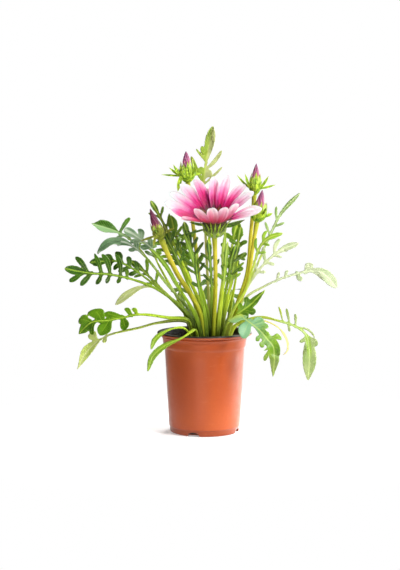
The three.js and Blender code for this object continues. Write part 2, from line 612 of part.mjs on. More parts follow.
function leafGeometry(leaf, seed) {
  const line = spine(gathered(leaf.route), leaf.face);
  const bladeStart = line.length - leaf.blade;
  const stalkSteps = Math.max(2, Math.round((bladeStart - FIRST_STEP) / STALK_STEP));
  const stations = [0];
  for (let step = 0; step < stalkSteps; step++)
    stations.push(mix(FIRST_STEP, bladeStart, step / stalkSteps));
  const lobes = lobesOf(leaf, seed).map(([back, side, length, width, angle]) => {
    const middle = line.length - back;
    const half = (width * LOBE_FOOT) / 2 / Math.sin(radians(angle));
    return { side, length, width, angle, middle, from: middle - half, to: middle + half };
  });
  for (const lobe of lobes) stations.push(lobe.from, lobe.to);
  const endStart = line.length - leaf.end[0];
  if (!lobes.length) stations.push(bladeStart);
  for (const share of [0, 0.3, 0.6, 0.88, 1]) stations.push(endStart + leaf.end[0] * share);
  stations.sort((a, b) => a - b);
  // Stations closer than this become one.
  const merged = [];
  for (const s of stations) if (!merged.length || s - merged.at(-1) > 0.9) merged.push(s);
  if (merged.at(-1) < line.length) merged[merged.length - 1] = line.length;
  const closer = (s) => (best, other, k) =>
    Math.abs(other - s) < Math.abs(merged[best] - s) ? k : best;
  const nearest = (s) => merged.reduce(closer(s), 0);

  const places = [];
  const corners = [];
  const width = (s) => ribWidth(leaf, line.length, s);
  for (const s of merged) {
    const inBlade = THREE.MathUtils.smoothstep(s, bladeStart - 12, bladeStart + 4);
    const edge = mix(STALK_EDGE, BLADE, inBlade);
    const stalkRidge = leaf.stalk * 1.05;
    const bladeRidge = Math.max(BLADE + 0.25, (MIDRIB * (line.length - s)) / 40 + 0.4);
    const ridge = Math.min(stalkRidge, mix(stalkRidge, bladeRidge, inBlade));
    const half = width(s);
    places.push(...stripRing(line.at(s), half, edge, ridge, bladeLift(half) * inBlade));
  }
  const SIDES = 6;
  const taken = new Set();
  for (const lobe of lobes) {
    const first = nearest(lobe.from);
    const last = nearest(lobe.to);
    const across = lobe.side;
    const topCorner = across > 0 ? 0 : 2;
    const lowCorner = across > 0 ? 5 : 3;
    for (let k = first; k < last; k++) taken.add(k * 2 + (across > 0 ? 0 : 1));
    // The lobe's outline in the blade's plane: [distance along the rib, distance from it].
    const turn = radians(lobe.angle);
    const foot = [lobe.middle, width(lobe.middle)];
    const out = (share, beside) => [
      foot[0] + lobe.length * share * Math.cos(turn) - beside * Math.sin(turn),
      foot[1] + lobe.length * share * Math.sin(turn) + beside * Math.cos(turn),
    ];
    const rim = [];
    for (let k = first; k <= last; k++) rim.push([merged[k], width(merged[k])]);
    const blunt = [out(0.97, -lobe.width * 0.2), out(0.97, lobe.width * 0.2)];
    const end = leaf.pairs ? [out(1, 0)] : blunt;
    const outer = [out(0.58, -lobe.width / 2), ...end, out(0.58, lobe.width / 2)];
    const outline = [...rim, ...outer];
    const start = places.length;
    const lobeFrames = outer.map(([s, t]) => [line.at(s), t]);
    for (const [frame, t] of lobeFrames) places.push(placed(frame, t * across, bladeLift(t) + BLADE));
    for (const [frame, t] of lobeFrames) places.push(placed(frame, t * across, bladeLift(t) - BLADE));
    const tops = [];
    const lows = [];
    for (let k = first; k <= last; k++) {
      tops.push(k * SIDES + topCorner);
      lows.push(k * SIDES + lowCorner);
    }
    outer.forEach((_, k) => {
      tops.push(start + k);
      lows.push(start + outer.length + k);
    });
    const flat = outline.map(([s, t]) => new THREE.Vector2(s, t));
    for (const [a, b, c] of THREE.ShapeUtils.triangulateShape(flat, [])) {
      const toB = flat[b].clone().sub(flat[a]);
      const toC = flat[c].clone().sub(flat[a]);
      const turnsLeft = toB.cross(toC) > 0;
      const [p, q, r] = turnsLeft === across > 0 ? [a, b, c] : [a, c, b];
      corners.push(tops[p], tops[q], tops[r]);
      corners.push(lows[p], lows[r], lows[q]);
    }
    const feet = last - first;
    for (let k = feet; k < outline.length; k++) {
      const next = (k + 1) % outline.length;
      if (across > 0) {
        corners.push(tops[k], lows[k], lows[next], tops[k], lows[next], tops[next]);
      } else {
        corners.push(tops[k], lows[next], lows[k], tops[k], tops[next], lows[next]);
      }
    }
  }
  for (let k = 0; k + 1 < merged.length; k++)
    for (let side = 0; side < SIDES; side++) {
      if (side === 5 && taken.has(k * 2)) continue;
      if (side === 2 && taken.has(k * 2 + 1)) continue;
      const here = k * SIDES + side;
      const beside = k * SIDES + ((side + 1) % SIDES);
      corners.push(here, beside, here + SIDES, beside, beside + SIDES, here + SIDES);
    }
  const last = (merged.length - 1) * SIDES;
  for (let side = 1; side + 1 < SIDES; side++) {
    corners.push(0, side + 1, side);
    corners.push(last, last + side, last + side + 1);
  }
  return { line, geometry: geometryFrom(places, corners) };
}

// ---------------------------------------------------------------- bloom and buds
// A head is built upright, with its foot at the origin, and then set on its stem along axis.
function setOnStem(geometry, seat, axis) {
  const way = new THREE.Vector3(...axis).normalize();
  const turn = new THREE.Quaternion().setFromUnitVectors(new THREE.Vector3(0, 0, 1), way);
  return geometry.applyQuaternion(turn).translate(...seat);
}

// Points given as [distance from the axis, height], at an azimuth in degrees from the front.
const aroundHead = (azimuth, points) =>
  points.map(([radius, height]) => [
    radius * Math.sin(radians(azimuth)),
    -radius * Math.cos(radians(azimuth)),
    height,
  ]);

const RAY_OUTLINE = [[0, 0.25], [0.45, 0.9], [0.87, 0.88], [1, 0.4]];
const BRACT_OUTLINE = [[0, 0.7], [0.4, 1], [1, 0.1]];
const LONG_BRACT_OUTLINE = [[0, 0.8], [0.5, 1], [1, 0.1]];

// The bloom's green cup, which its stem runs into.
const CUP_HEIGHT = 18;
const CUP = [
  [0, 0], [2.9, 0], [7, 1.5], [10.1, 4.8], [11.5, 9.4], [12.2, CUP_HEIGHT], [0, CUP_HEIGHT],
];
const CUP_TEETH = 11;
const RAY_ROOT = 11.5; // distance of a ray's root from the axis
const RAY_SEAT = CUP_HEIGHT + GAP; // height of the plate that carries the rays
// Ray petals: [azimuth, reach from the axis, rise of the tip, half width, bow]. Bow is how far
// the middle hangs below the straight line from root to tip.
const RAYS = [
  [356, 43, 30, 5.8, 3], [16, 38, 28, 5.6, 3], [38, 37, 29, 6.3, 3], [66, 46, 17, 5.6, 0],
  [92, 49, 12, 5.8, 0], [117, 46, 23, 5.8, -2], [138, 48, 26, 6.1, -3], [160, 42, 35, 6.3, -4],
  [180, 44, 31, 5.8, -4], [192, 38, 20, 4.5, -4], [205, 48, 29, 6.1, -4], [226, 50, 26, 6.3, -3],
  [248, 50, 23, 6.1, -1], [269, 52, 19, 5.8, 0], [289, 47, 17, 5.6, 1], [310, 44, 13, 5.4, 0],
  [333, 42, 27, 6.1, 3],
];
const RAY_TWIST = 0.8; // how far the upper sides of the rays at the left and right turn to the front
const BRACT_TWIST = 1.4; // and those of the spreading bracts
const DISC_RADIUS = 10.6;
const DISC_HEIGHT = 7.5;

// The line of a spreading bract, whose upper side turns to the front.
function turnedSpine(azimuth, points) {
  const face = [0, -BRACT_TWIST * Math.abs(Math.sin(radians(azimuth))), 1];
  return spine(aroundHead(azimuth, points), [face, face]);
}

function bloomCup() {
  const pieces = [turned(CUP, 11)];
  for (let tooth = 0; tooth < CUP_TEETH; tooth++) {
    const azimuth = (360 * tooth) / CUP_TEETH;
    const route = aroundHead(azimuth, [[9.8, 9.6], [13.2, 13.8], [16.6, 18.2]]);
    pieces.push(bract(spine(route), 2.3, BRACT_OUTLINE));
  }
  const spreading = [
    [80, [[10.4, 12.4], [20, 14], [33, 19]], 2.4],
    [276, [[9.4, 9], [25, 5], [44, 1]], 1.1],
    [262, [[10.6, 12.4], [18, 13], [27, 15]], 1.6],
    [322, [[7.4, 5.6], [9, -1], [4.4, -9]], 1.4],
    [200, [[10.4, 11.4], [19, 11], [28, 14]], 1.6],
  ];
  for (const [azimuth, points, half] of spreading)
    pieces.push(bract(turnedSpine(azimuth, points), half, LONG_BRACT_OUTLINE));
  return geometryOf(joined(pieces));
}

function bloomRays() {
  const plate = [
    [0, RAY_SEAT], [RAY_ROOT + 1.3, RAY_SEAT], [RAY_ROOT + 1.3, RAY_SEAT + 1.2], [0, RAY_SEAT + 1.2],
  ];
  const pieces = [turned(plate, 12)];
  for (const [azimuth, reach, rise, half, bow] of RAYS) {
    const along = (share, drop) => [
      mix(RAY_ROOT, reach, share),
      RAY_SEAT + 0.75 + rise * share - bow * drop,
    ];
    const points = [along(0, 0), along(0.33, 0.9), along(0.68, 0.85), along(1, 0)];
    const sideways = THREE.MathUtils.smoothstep(Math.abs(Math.sin(radians(azimuth))), 0.6, 0.95);
    const line = spine(aroundHead(azimuth, points), [[0, 0, 1], [0, -RAY_TWIST * sideways, 1]]);
    pieces.push(blade(line, half, RAY_OUTLINE, 0.22, 0.55));
  }
  return geometryOf(joined(pieces));
}

// The disc: a low dome whose florets are a relief in two turns of spirals.
function bloomDisc() {
  const sides = 20;
  const foot = RAY_SEAT + 1.2 + GAP;
  const places = [];
  const corners = [];
  const levels = [1, 0.97, 0.8, 0.6, 0.38, 0.18];
  levels.forEach((share, level) => {
    for (let side = 0; side < sides; side++) {
      const turn = (2 * Math.PI * (side + level / 2)) / sides;
      const radius = DISC_RADIUS * share;
      const floret = 0.45 * Math.cos(Math.PI * (side + level));
      const height = level ? foot + DISC_HEIGHT * (1 - share ** 3) + 0.6 + floret : foot;
      places.push([radius * Math.cos(turn), radius * Math.sin(turn), height]);
    }
  });
  for (let level = 0; level + 1 < levels.length; level++)
    for (let side = 0; side < sides; side++) {
      const here = level * sides + side;
      const beside = level * sides + ((side + 1) % sides);
      corners.push(here, beside, here + sides, beside, beside + sides, here + sides);
    }
  const low = places.push([0, 0, foot]) - 1;
  const high = places.push([0, 0, foot + DISC_HEIGHT + 0.4]) - 1;
  const last = (levels.length - 1) * sides;
  for (let side = 0; side < sides; side++) {
    const next = (side + 1) % sides;
    corners.push(low, next, side);
    corners.push(high, last + side, last + next);
  }
  return geometryFrom(places, corners);
}

// One bud: its stem's route, the way it points, [half width, height] of its cup, [radius, length]
// of its closed petals, and its loose bracts as [azimuth, reach, rise, half width].
const BUDS = {
  upper_left: {
    route: [[-3, 22, 93], [-5, 26, 140], [-9, 32, 190], [-14, 34, 230], [-17.8, 34, 262]],
    axis: [-0.06, 0, 1], cup: [9, 16], cone: [4.6, 17],
    bracts: [[270, 28, 10, 1.8], [255, 20, 17, 2.2], [285, 15, 20, 2.4], [45, 14, 19, 2.4],
      [200, 18, 12, 2.2], [300, 13, -9, 3.2], [110, 15, 9, 2.4]],
  },
  left: {
    route: [[-5, -14, 93], [-7, -14, 125], [-15, -16, 146], [-28, -20, 168], [-38, -23, 189],
      [-44.6, -24, 204]],
    axis: [-0.36, -0.03, 1], cup: [6.6, 13], cone: [4.2, 21],
    bracts: [[90, 17, 7, 2], [265, 21, 6, 2], [20, 12, 14, 2.2], [200, 14, 12, 2.2],
      [310, 12, -3, 2]],
  },
  upper_right: {
    route: [[31, 10, 93], [38, 12, 126], [45, 16, 165], [49, 19, 205], [53, 22, 249]],
    axis: [0.06, 0, 1], cup: [6.6, 15], cone: [4, 18],
    bracts: [[268, 20, 20, 1.9], [285, 12, 22, 2.1], [80, 14, 21, 2.2], [95, 22, 12, 1.9],
      [180, 15, 14, 2.2]],
  },
  right: {
    route: [[30, -8, 93], [38, -7, 126], [45, -3, 158], [50, 1, 190], [55, 4, 221]],
    axis: [0.17, 0, 1], cup: [9, 15], cone: [4.4, 19],
    bracts: [[250, 14, 14, 2.4], [100, 15, 12, 2.4], [30, 13, 17, 2.3], [170, 15, 12, 2.3]],
  },
};
const BUD_TEETH = 6;

function budCup({ cup: [half, height], cone: [coneRadius], bracts }) {
  const outline = [[0, 0], [0.3, 0], [0.8, 0.24], [1, 0.6], [0.84, 1], [0, 1]];
  const pieces = [turned(outline.map(([r, z]) => [r * half, z * height]), 9)];
  const rim = Math.max(coneRadius + 1.6, half * 0.84);
  for (let tooth = 0; tooth < BUD_TEETH; tooth++) {
    const points = [
      [half * 0.86, height * 0.55], [rim + 0.2, height * 1.05], [rim - 0.9, height * 1.5],
    ];
    const azimuth = (360 * (tooth + 0.3)) / BUD_TEETH;
    pieces.push(bract(spine(aroundHead(azimuth, points)), 2.8, BRACT_OUTLINE));
  }
  for (const [azimuth, reach, rise, width] of bracts) {
    const [root, low] = [half * 0.8, height * 0.45];
    const points = [[root, low], [mix(root, reach, 0.5), mix(low, rise, 0.42)], [reach, rise]];
    pieces.push(bract(turnedSpine(azimuth, points), width, LONG_BRACT_OUTLINE));
  }
  return geometryOf(joined(pieces));
}

// The closed petals: a cone of twisted folds.
function budCone({ cup: [, height], cone: [radius, length] }) {
  const sides = 10;
  const foot = height + GAP;
  const levels = [[0, 0.95], [0.35, 0.9], [0.75, 0.5], [1, 0.08]];
  const rings = levels.map(([share, width]) =>
    Array.from({ length: sides }, (_, side) => {
      const turn = (2 * Math.PI * side) / sides + share * 0.9;
      const fold = side % 2 ? 0.8 : 1;
      const out = radius * width * fold;
      return [out * Math.cos(turn), out * Math.sin(turn), foot + length * share];
    }),
  );
  return skinned(rings);
}

// ---------------------------------------------------------------- assembly
const group = new THREE.Group();
const holes = [];

function finish(colour, roughness) {
  return new THREE.MeshStandardMaterial({ color: colour, roughness, metalness: 0 });
}

function add(name, geometry, material) {
  const mesh = new THREE.Mesh(geometry, material);
  mesh.name = name;
  group.add(mesh);
  return mesh;
}

const POT_FINISH = finish("#c05a28", 0.45);
const SOIL_FINISH = finish("#2a1d14", 0.95);
const LEAF_FINISH = finish("#4f8a2a", 0.5);
const STEM_FINISH = finish("#a9b54a", 0.5);
const RAY_FINISH = finish("#f08bb5", 0.55);
const DISC_FINISH = finish("#4a3418", 0.8);
const BUD_FINISH = finish("#8a3a66", 0.5);

Object.entries(LEAVES).forEach(([name, leaf], index) => {
  const { line, geometry } = leafGeometry(leaf, index + 1);
  holes.push(holeFor(line, ribWidth(leaf, line.length, FIRST_STEP)));
  add(name, geometry, LEAF_FINISH);
});

const bloomAxis = [0, -Math.sin(radians(BLOOM_TILT)), Math.cos(radians(BLOOM_TILT))];
const bloomStem = spine(gathered(BLOOM_ROUTE));
holes.push(holeFor(bloomStem, SCAPE_RADIUS));
const bloomGreen = joined([
  stem(bloomStem, () => SCAPE_RADIUS, 0, bloomStem.length, 8, 8),
  setOnStem(bloomCup(), BLOOM_SEAT, bloomAxis),
]);
add("bloom_stem", geometryOf(bloomGreen), STEM_FINISH);
add("bloom_rays", setOnStem(bloomRays(), BLOOM_SEAT, bloomAxis), RAY_FINISH);
add("bloom_disc", setOnStem(bloomDisc(), BLOOM_SEAT, bloomAxis), DISC_FINISH);

for (const [name, bud] of Object.entries(BUDS)) {
  const seat = bud.route.at(-1);
  const line = spine(gathered(bud.route));
  holes.push(holeFor(line, BUD_SCAPE_RADIUS));
  const green = joined([
    stem(line, () => BUD_SCAPE_RADIUS, 0, line.length, 6),
    setOnStem(budCup(bud), seat, bud.axis),
  ]);
  add(`bud_${name}_stem`, geometryOf(green), STEM_FINISH);
  add(`bud_${name}_petals`, setOnStem(budCone(bud), seat, bud.axis), BUD_FINISH);
}

add("pot", pot(), POT_FINISH);
add("soil", soil(holes), SOIL_FINISH);

export default group;
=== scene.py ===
"""A gazania in its 10 cm nursery pot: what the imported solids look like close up.

Lengths below are in millimetres, like the solids' own, and become metres in new_mesh.
Tables of numbers are written as text, "1 2 3, 4 5 6", and read by rows_of.
"""

import math
from collections import namedtuple

import bpy
import numpy as np
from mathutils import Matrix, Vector, noise


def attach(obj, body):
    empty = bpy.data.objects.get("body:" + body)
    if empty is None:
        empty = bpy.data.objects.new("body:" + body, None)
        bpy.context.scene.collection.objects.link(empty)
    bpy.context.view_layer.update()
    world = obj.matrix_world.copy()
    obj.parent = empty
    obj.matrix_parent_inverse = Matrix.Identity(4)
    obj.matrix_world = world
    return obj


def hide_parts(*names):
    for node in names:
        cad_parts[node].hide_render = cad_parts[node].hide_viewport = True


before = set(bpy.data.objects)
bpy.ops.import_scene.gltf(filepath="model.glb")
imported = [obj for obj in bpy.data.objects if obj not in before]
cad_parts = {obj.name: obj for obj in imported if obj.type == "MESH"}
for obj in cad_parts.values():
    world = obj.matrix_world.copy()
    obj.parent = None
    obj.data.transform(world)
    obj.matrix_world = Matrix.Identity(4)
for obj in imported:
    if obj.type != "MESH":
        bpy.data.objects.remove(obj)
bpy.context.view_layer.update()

MM = 0.001
AXIS = 0.05  # radius of the ring that closes a turned body at its axis

# ---- sizes shared with the solids
POT_HEIGHT = 106
RIM_RADIUS = 50
RIM_DEPTH = 2.8
BAND_RADIUS = 44.6
BAND_STEP = 91
WALL_RADIUS = 42
FOOT_RADIUS = 36.8
FOOT_HEIGHT = 6
WALL = 1.3
BASE = 1.8
NOTCHES = (-19, 71, 161, 251)
NOTCH_WIDTH = 13
NOTCH_HEIGHT = 4.2
NOTCH_REACH = 8
SOIL_TOP = 99.5
GAP = 0.35
SCAPE_RADIUS = 2.4
BUD_SCAPE_RADIUS = 2
BLOOM_TILT = 20
ROOT_DEPTH = 93
CROWN_X = 6
CROWN_PINCH = 0.62
CROWN_TOP = 160
CROWN_REACH = (25, 55)
WING = 1.4
FOLD = 0.2
SAG = 0.009


# ---- numbers and lines
def rows_of(text):
    return [[float(number) for number in row.split()] for row in text.split(",") if row.strip()]


def draw(seed, step):
    """A number from 0 to 1 that is always the same for the same seed and step."""
    value = math.sin(seed * 78.233 + step * 12.9898) * 43758.5453
    return value - math.floor(value)


def mix(first, second, share):
    return first + (second - first) * share


def smooth(value, low, high):
    share = np.clip((value - low) / (high - low), 0, 1)
    return share * share * (3 - 2 * share)


def unit(ways):
    return ways / np.linalg.norm(ways, axis=-1, keepdims=True)


def turned(x, y, turn):
    """A place turned about the upright axis."""
    return x * math.cos(turn) - y * math.sin(turn), x * math.sin(turn) + y * math.cos(turn)


def turns_of(sides):
    """Evenly spaced angles round a circle."""
    return 2 * np.pi * np.arange(sides) / sides


def circle(radius, turns, height):
    return np.stack([radius * np.cos(turns), radius * np.sin(turns), height + 0 * turns], -1)


def gathered(route):
    """A stem's route from its root, with its points near the crown drawn in to the crown's middle."""
    points = np.array([[*route[0], ROOT_DEPTH], *route[1:]])
    beside = points[:, 0] - CROWN_X
    high = smooth(points[:, 2], ROOT_DEPTH, CROWN_TOP)
    far = smooth(np.abs(beside), *CROWN_REACH)
    points[:, 0] = CROWN_X + beside * mix(CROWN_PINCH, 1, np.maximum(high, far))
    return points


class Spine:
    """A smooth line through points, with the way it runs, its face and its left at each s."""

    STEPS = 60

    def __init__(self, points, face=((0, 0, 1), (0, 0, 1))):
        spots = np.array(points, float)
        ends = np.concatenate([[2 * spots[0] - spots[1]], spots, [2 * spots[-1] - spots[-2]]])
        share = np.linspace(0, 1, self.STEPS, endpoint=False)[:, None]
        rows = []
        for a, b, c, d in zip(ends, ends[1:], ends[2:], ends[3:]):
            before, here, after = (math.sqrt(np.linalg.norm(way)) for way in (b - a, c - b, d - c))
            leave = ((b - a) / before - (c - a) / (before + here) + (c - b) / here) * here
            reach = ((c - b) / here - (d - b) / (here + after) + (d - c) / after) * here
            square = (3 * (c - b) - 2 * leave - reach) * share**2
            rows.append(b + leave * share + square + (2 * (b - c) + leave + reach) * share**3)
        self.spots = np.concatenate([*rows, spots[-1:]])
        steps = np.linalg.norm(np.diff(self.spots, axis=0), axis=1)
        self.s = np.concatenate([[0], np.cumsum(steps)])
        self.length = self.s[-1]
        self.ways = unit(np.gradient(self.spots, self.s, axis=0))
        self.face = np.array(face, float)

    def read(self, s, numbers):
        return np.stack([np.interp(s, self.s, numbers[:, k]) for k in range(3)], -1)

    def put(self, s, across, above):
        """Places across to the left of the line and above it. Past its ends it runs on straight."""
        inside = np.clip(s, 0, self.length)
        along = unit(self.read(inside, self.ways))
        place = self.read(inside, self.spots) + along * (s - inside)[..., None]
        share = (inside / self.length)[..., None]
        up = self.face[0] * (1 - share) + self.face[1] * share
        up = unit(up - along * (up * along).sum(-1, keepdims=True))
        return place + np.cross(up, along) * across[..., None] + up * above[..., None]


# ---- meshes
def grid_faces(rows, columns, closed=False):
    """Quads over rows of vertices. closed joins each row's end to its start."""
    faces = []
    for row in range(rows - 1):
        for column in range(columns if closed else columns - 1):
            beside = (column + 1) % columns
            faces.append([
                row * columns + column, row * columns + beside,
                (row + 1) * columns + beside, (row + 1) * columns + column,
            ])
    return faces


def tube_faces(rows, sides):
    """The side of a closed tube, then its two ends."""
    ends = [list(range(sides))[::-1], list(range((rows - 1) * sides, rows * sides))]
    return grid_faces(rows, sides, closed=True) + ends


class Skin:
    """Vertices and faces of one piece, with numbers on the vertices for its materials."""

    def __init__(self):
        self.places = []
        self.faces = []
        self.slots = []
        self.values = []
        self.count = 0

    def add(self, places, faces, slot=0, **values):
        places = np.asarray(places, float).reshape(-1, 3)
        self.places.append(places)
        self.faces += [[self.count + corner for corner in face] for face in faces]
        self.slots += [slot] * len(faces)
        self.values.append((slice(self.count, self.count + len(places)), values))
        self.count += len(places)

    def add_rings(self, rings, slot=0, **values):
        """A closed tube through rings, with one number a ring for each of its values."""
        sides = len(rings[0])
        spread = {key: np.repeat(np.broadcast_to(value, len(rings)), sides) for key, value in values.items()}
        self.add(rings, tube_faces(len(rings), sides), slot, **spread)

    def turn(self, seat, axis):
        """Sets what was built upright at the origin on its seat, along axis."""
        way = Vector((0, 0, 1)).rotation_difference(Vector(axis))
        matrix = np.array(way.to_matrix())
        self.places = [places @ matrix.T + np.array(seat) for places in self.places]


def add_tube(skin, line, stations, section, slot=0, **values):
    """A closed tube. section(s) gives the corners of its section, anticlockwise: across, above."""
    rings = []
    for s in stations:
        across, above = section(s)
        rings.append(line.put(np.full(len(across), s), across, above))
    skin.add_rings(rings, slot, **values)


def add_turned(skin, profile, sides, relief=None, slot=0, **values):
    """A body turned about +Z from [radius, height] pairs. relief(turns, row) scales the radius."""
    turns = turns_of(sides)
    rings = []
    for row, (radius, height) in enumerate(profile):
        scale = relief(turns, row / (len(profile) - 1)) if relief else 1
        rings.append(circle(radius * scale, turns, height))
    skin.add_rings(rings, slot, **values)


def add_blade(skin, line, half, outline, slots, rows, columns, shape, thick, **values):
    """A two-faced blade. outline(share) scales its half width; shape(share, across) lifts it."""
    share = np.repeat(np.linspace(0, 1, rows), columns)
    across = np.tile(np.linspace(-1, 1, columns), rows)
    beside = across * (half * outline(share))
    body = thick / 2 * (1 - np.abs(across) ** 4) * np.minimum(1, (1 - share) * rows)
    lower = grid_faces(rows, columns)
    upper = [face[::-1] for face in lower]
    for side, slot, faces in ((1, slots[0], upper), (-1, slots[1], lower)):
        places = line.put(share * line.length, beside, shape(share, across) + side * body)
        skin.add(places, faces, slot, share=share, across=across, **values)


def new_mesh(name, places, faces):
    mesh = bpy.data.meshes.new(name)
    mesh.from_pydata((places * MM).tolist(), [], faces)
    return mesh


def new_object(name, data):
    made = bpy.data.objects.new(name, data)
    bpy.context.scene.collection.objects.link(made)
    return made


def make_piece(name, skin, materials, nodes):
    """A mesh object that rides on the root, stands for its nodes and has its slot's finish."""
    mesh = new_mesh(name, np.concatenate(skin.places), skin.faces)
    mesh.polygons.foreach_set("material_index", skin.slots)
    mesh.polygons.foreach_set("use_smooth", [True] * len(skin.faces))
    for key in sorted({key for _, values in skin.values for key in values}):
        numbers = np.zeros(skin.count, np.float32)
        for part, values in skin.values:
            numbers[part] = values.get(key, 0)
        mesh.attributes.new(key, "FLOAT", "POINT").data.foreach_set("value", numbers)
    for material in materials:
        mesh.materials.append(material)
    mesh.update()
    piece = new_object(name, mesh)
    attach(piece, "root")
    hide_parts(*nodes)
    return piece


# ---- materials
def ink(text):
    """Linear colour from a hex code."""
    parts = [int(text[k:k + 2], 16) / 255 for k in (1, 3, 5)]
    return [p / 12.92 if p <= 0.04045 else ((p + 0.055) / 1.055) ** 2.4 for p in parts] + [1]


class Paint:
    """One material, made by short calls that each add a node and give its output."""

    def __init__(self, name, roughness=0.5, **inputs):
        self.material = bpy.data.materials.new(name)
        self.material.use_nodes = True
        self.tree = self.material.node_tree
        self.shader = self.tree.nodes["Principled BSDF"]
        self.shader.inputs["Roughness"].default_value = roughness
        for key, value in inputs.items():
            self.shader.inputs[key.replace("_", " ")].default_value = value

    def node(self, kind, **settings):
        made = self.tree.nodes.new("ShaderNode" + kind)
        for key, value in settings.items():
            setattr(made, key, value)
        return made

    def put(self, socket, value):
        if isinstance(value, bpy.types.NodeSocket):
            self.tree.links.new(value, socket)
        else:
            socket.default_value = value

    def value(self, name):
        return self.node("Attribute", attribute_type="GEOMETRY", attribute_name=name).outputs["Fac"]

    def maths(self, operation, *values):
        made = self.node("Math", operation=operation)
        for socket, value in zip(made.inputs, values):
            self.put(socket, value)
        return made.outputs[0]

    def plus(self, first, second):
        return self.maths("ADD", first, second)

    def times(self, first, second):
        return self.maths("MULTIPLY", first, second)

    def step(self, value, low, high, start=0.0, end=1.0):
        """Goes smoothly from start to end while value goes from low to high."""
        made = self.node("MapRange", interpolation_type="SMOOTHSTEP")
        for socket, number in zip(made.inputs, (value, low, high, start, end)):
            self.put(socket, number)
        return made.outputs[0]

    def place(self, scale=(1, 1, 1)):
        """Places in the piece, in millimetres times scale."""
        made = self.node("Mapping")
        self.put(made.inputs["Vector"], self.node("TexCoord").outputs["Object"])
        self.put(made.inputs["Scale"], [1000 * part for part in scale])
        return made.outputs[0]

    def cloud(self, scale, detail=3, at=(1, 1, 1), rough=0.5):
        made = self.node("TexNoise")
        self.put(made.inputs["Vector"], self.place(at))
        self.put(made.inputs["Scale"], scale)
        self.put(made.inputs["Detail"], detail)
        self.put(made.inputs["Roughness"], rough)
        return made.outputs["Fac"]

    def blend(self, share, first, second):
        made = self.node("Mix", data_type="RGBA")
        for socket, value in zip((made.inputs[0], made.inputs[6], made.inputs[7]), (share, first, second)):
            self.put(socket, ink(value) if isinstance(value, str) else value)
        return made.outputs[2]

    def tint(self, tone, colour, *steps):
        """Lays a colour over a tone as far as step says."""
        return self.blend(self.step(*steps), tone, colour)

    def ramp(self, value, stops):
        """Colours along value, from text such as "0 #102030, 1 #405060"."""
        made = self.node("ValToRGB")
        self.put(made.inputs[0], value)
        stops = [stop.split() for stop in stops.split(",")]
        points = made.color_ramp.elements
        while len(points) < len(stops):
            points.new(0.5)
        for point, (share, colour) in zip(points, stops):
            point.position = float(share)
            point.color = ink(colour)
        return made.outputs[0]

    def done(self, colour, height, strength=0.5, depth=0.2):
        """The material, with its colour and a relief from height."""
        made = self.node("Bump")
        self.put(made.inputs["Strength"], strength)
        self.put(made.inputs["Distance"], depth * MM)
        self.put(made.inputs["Height"], height)
        self.put(self.shader.inputs["Normal"], made.outputs[0])
        self.put(self.shader.inputs["Base Color"], colour)
        return self.material


# Six colours of each look: dark and light flesh, rib, underside, and the foot and top of the stalk.
# The foot colour is darker than the top as painted shade low down in the crown.
LOOKS = {
    "plain": "#2e5c0e #6f9c20 #b4c84e #5c7e30 #465408 #b4ca30",
    # deep: dark greens, partly the leaves' own and partly painted shade for the leaves down in the crown.
    "deep": "#12300a #386418 #94b43c #446a26 #2a3a06 #7f9c20",
    "lush": "#24520a #628e14 #acca44 #5c8230 #4c5a0c #aac832",
    # blue: the leaves' own grey-green, lightened partly as painted highlight for the sheen on their glossy
    # blades.
    "blue": "#4a7a44 #a9c79c #dde8d0 #b4c8ac #6f8432 #93b242",
    # sage and pale: the leaves' own grey-greens, lightened further as painted light for the strong light
    # from the right.
    "sage": "#6c9648 #a3be72 #c9d8a0 #b0be92 #a9b86a #bccf6c",
    "fresh": "#4f8a22 #8fb832 #bfd25e #93b055 #8fa236 #b8cc48",
    "olive": "#7f9c28 #9cb43a #b4c05c #a0a074 #98a050 #b0b060",
    # lit: pale yellow-green, brightened as painted light shining through the blade.
    "lit": "#aec54c #d5e184 #e2e9a0 #c6d584 #9fae50 #b9ce50",
    # pale: lightened as painted light, like sage.
    "pale": "#a3b684 #cbd4ac #dbe4bc #c3cfa4 #c9d592 #c6d294",
    "dry": "#e2cc4a #efe47e #f4eca8 #e8dc94 #c9c890 #e6dc7c",
    "teal": "#3f7410 #86a82a #a3b85c #6c8c4c #8a9430 #b8cc3c",
    "rolled": "#748f46 #a6b478 #bccb84 #a2b178 #a9b436 #a8b840",
    # glow: brightened almost to white-green as painted light shining through a blade that stands in shade.
    "glow": "#cfe06a #f0fa98 #f6fbc0 #dcee86 #a9bc4c #c6da60",
    "halved": "#2c5c10 #5c8c20 #b4d090 #6c9048 #465408 #a6be28",
}
# More colours of some: left or right of the rib, in the lobes at the foot, at the tip, along the rib.
LEFT_HALVES = {"halved": "#9cc488"}
RIGHT_HALVES = {"olive": "#b0b47a"}
FEET = {"teal": "#6f9f78"}
TIPS = {"teal": "#84904c"}
CORES = {"rolled": "#8cb41c"}


def leaf_veins(paint, across):
    """1 on the midrib, less on the veins of the lobes and on the side veins that leave them."""
    beside = paint.maths("ABSOLUTE", paint.value("vein"))
    midrib = paint.step(across, 0.35, 1.1, 1, 0)
    outer = paint.step(paint.value("reach"), 0.5, 0.95, 0.45, 0)
    vein = paint.times(paint.step(beside, 0.1, 0.5, 1, 0), outer)
    comb = paint.maths("SUBTRACT", paint.times(paint.value("out"), 0.5), paint.times(beside, 0.32))
    ribs = paint.step(paint.maths("PINGPONG", comb, 0.5), 0, 0.12, 0.35, 0)
    ribs = paint.times(ribs, paint.step(beside, 0.3, 0.8))
    return paint.maths("MAXIMUM", paint.maths("MAXIMUM", midrib, vein), ribs)


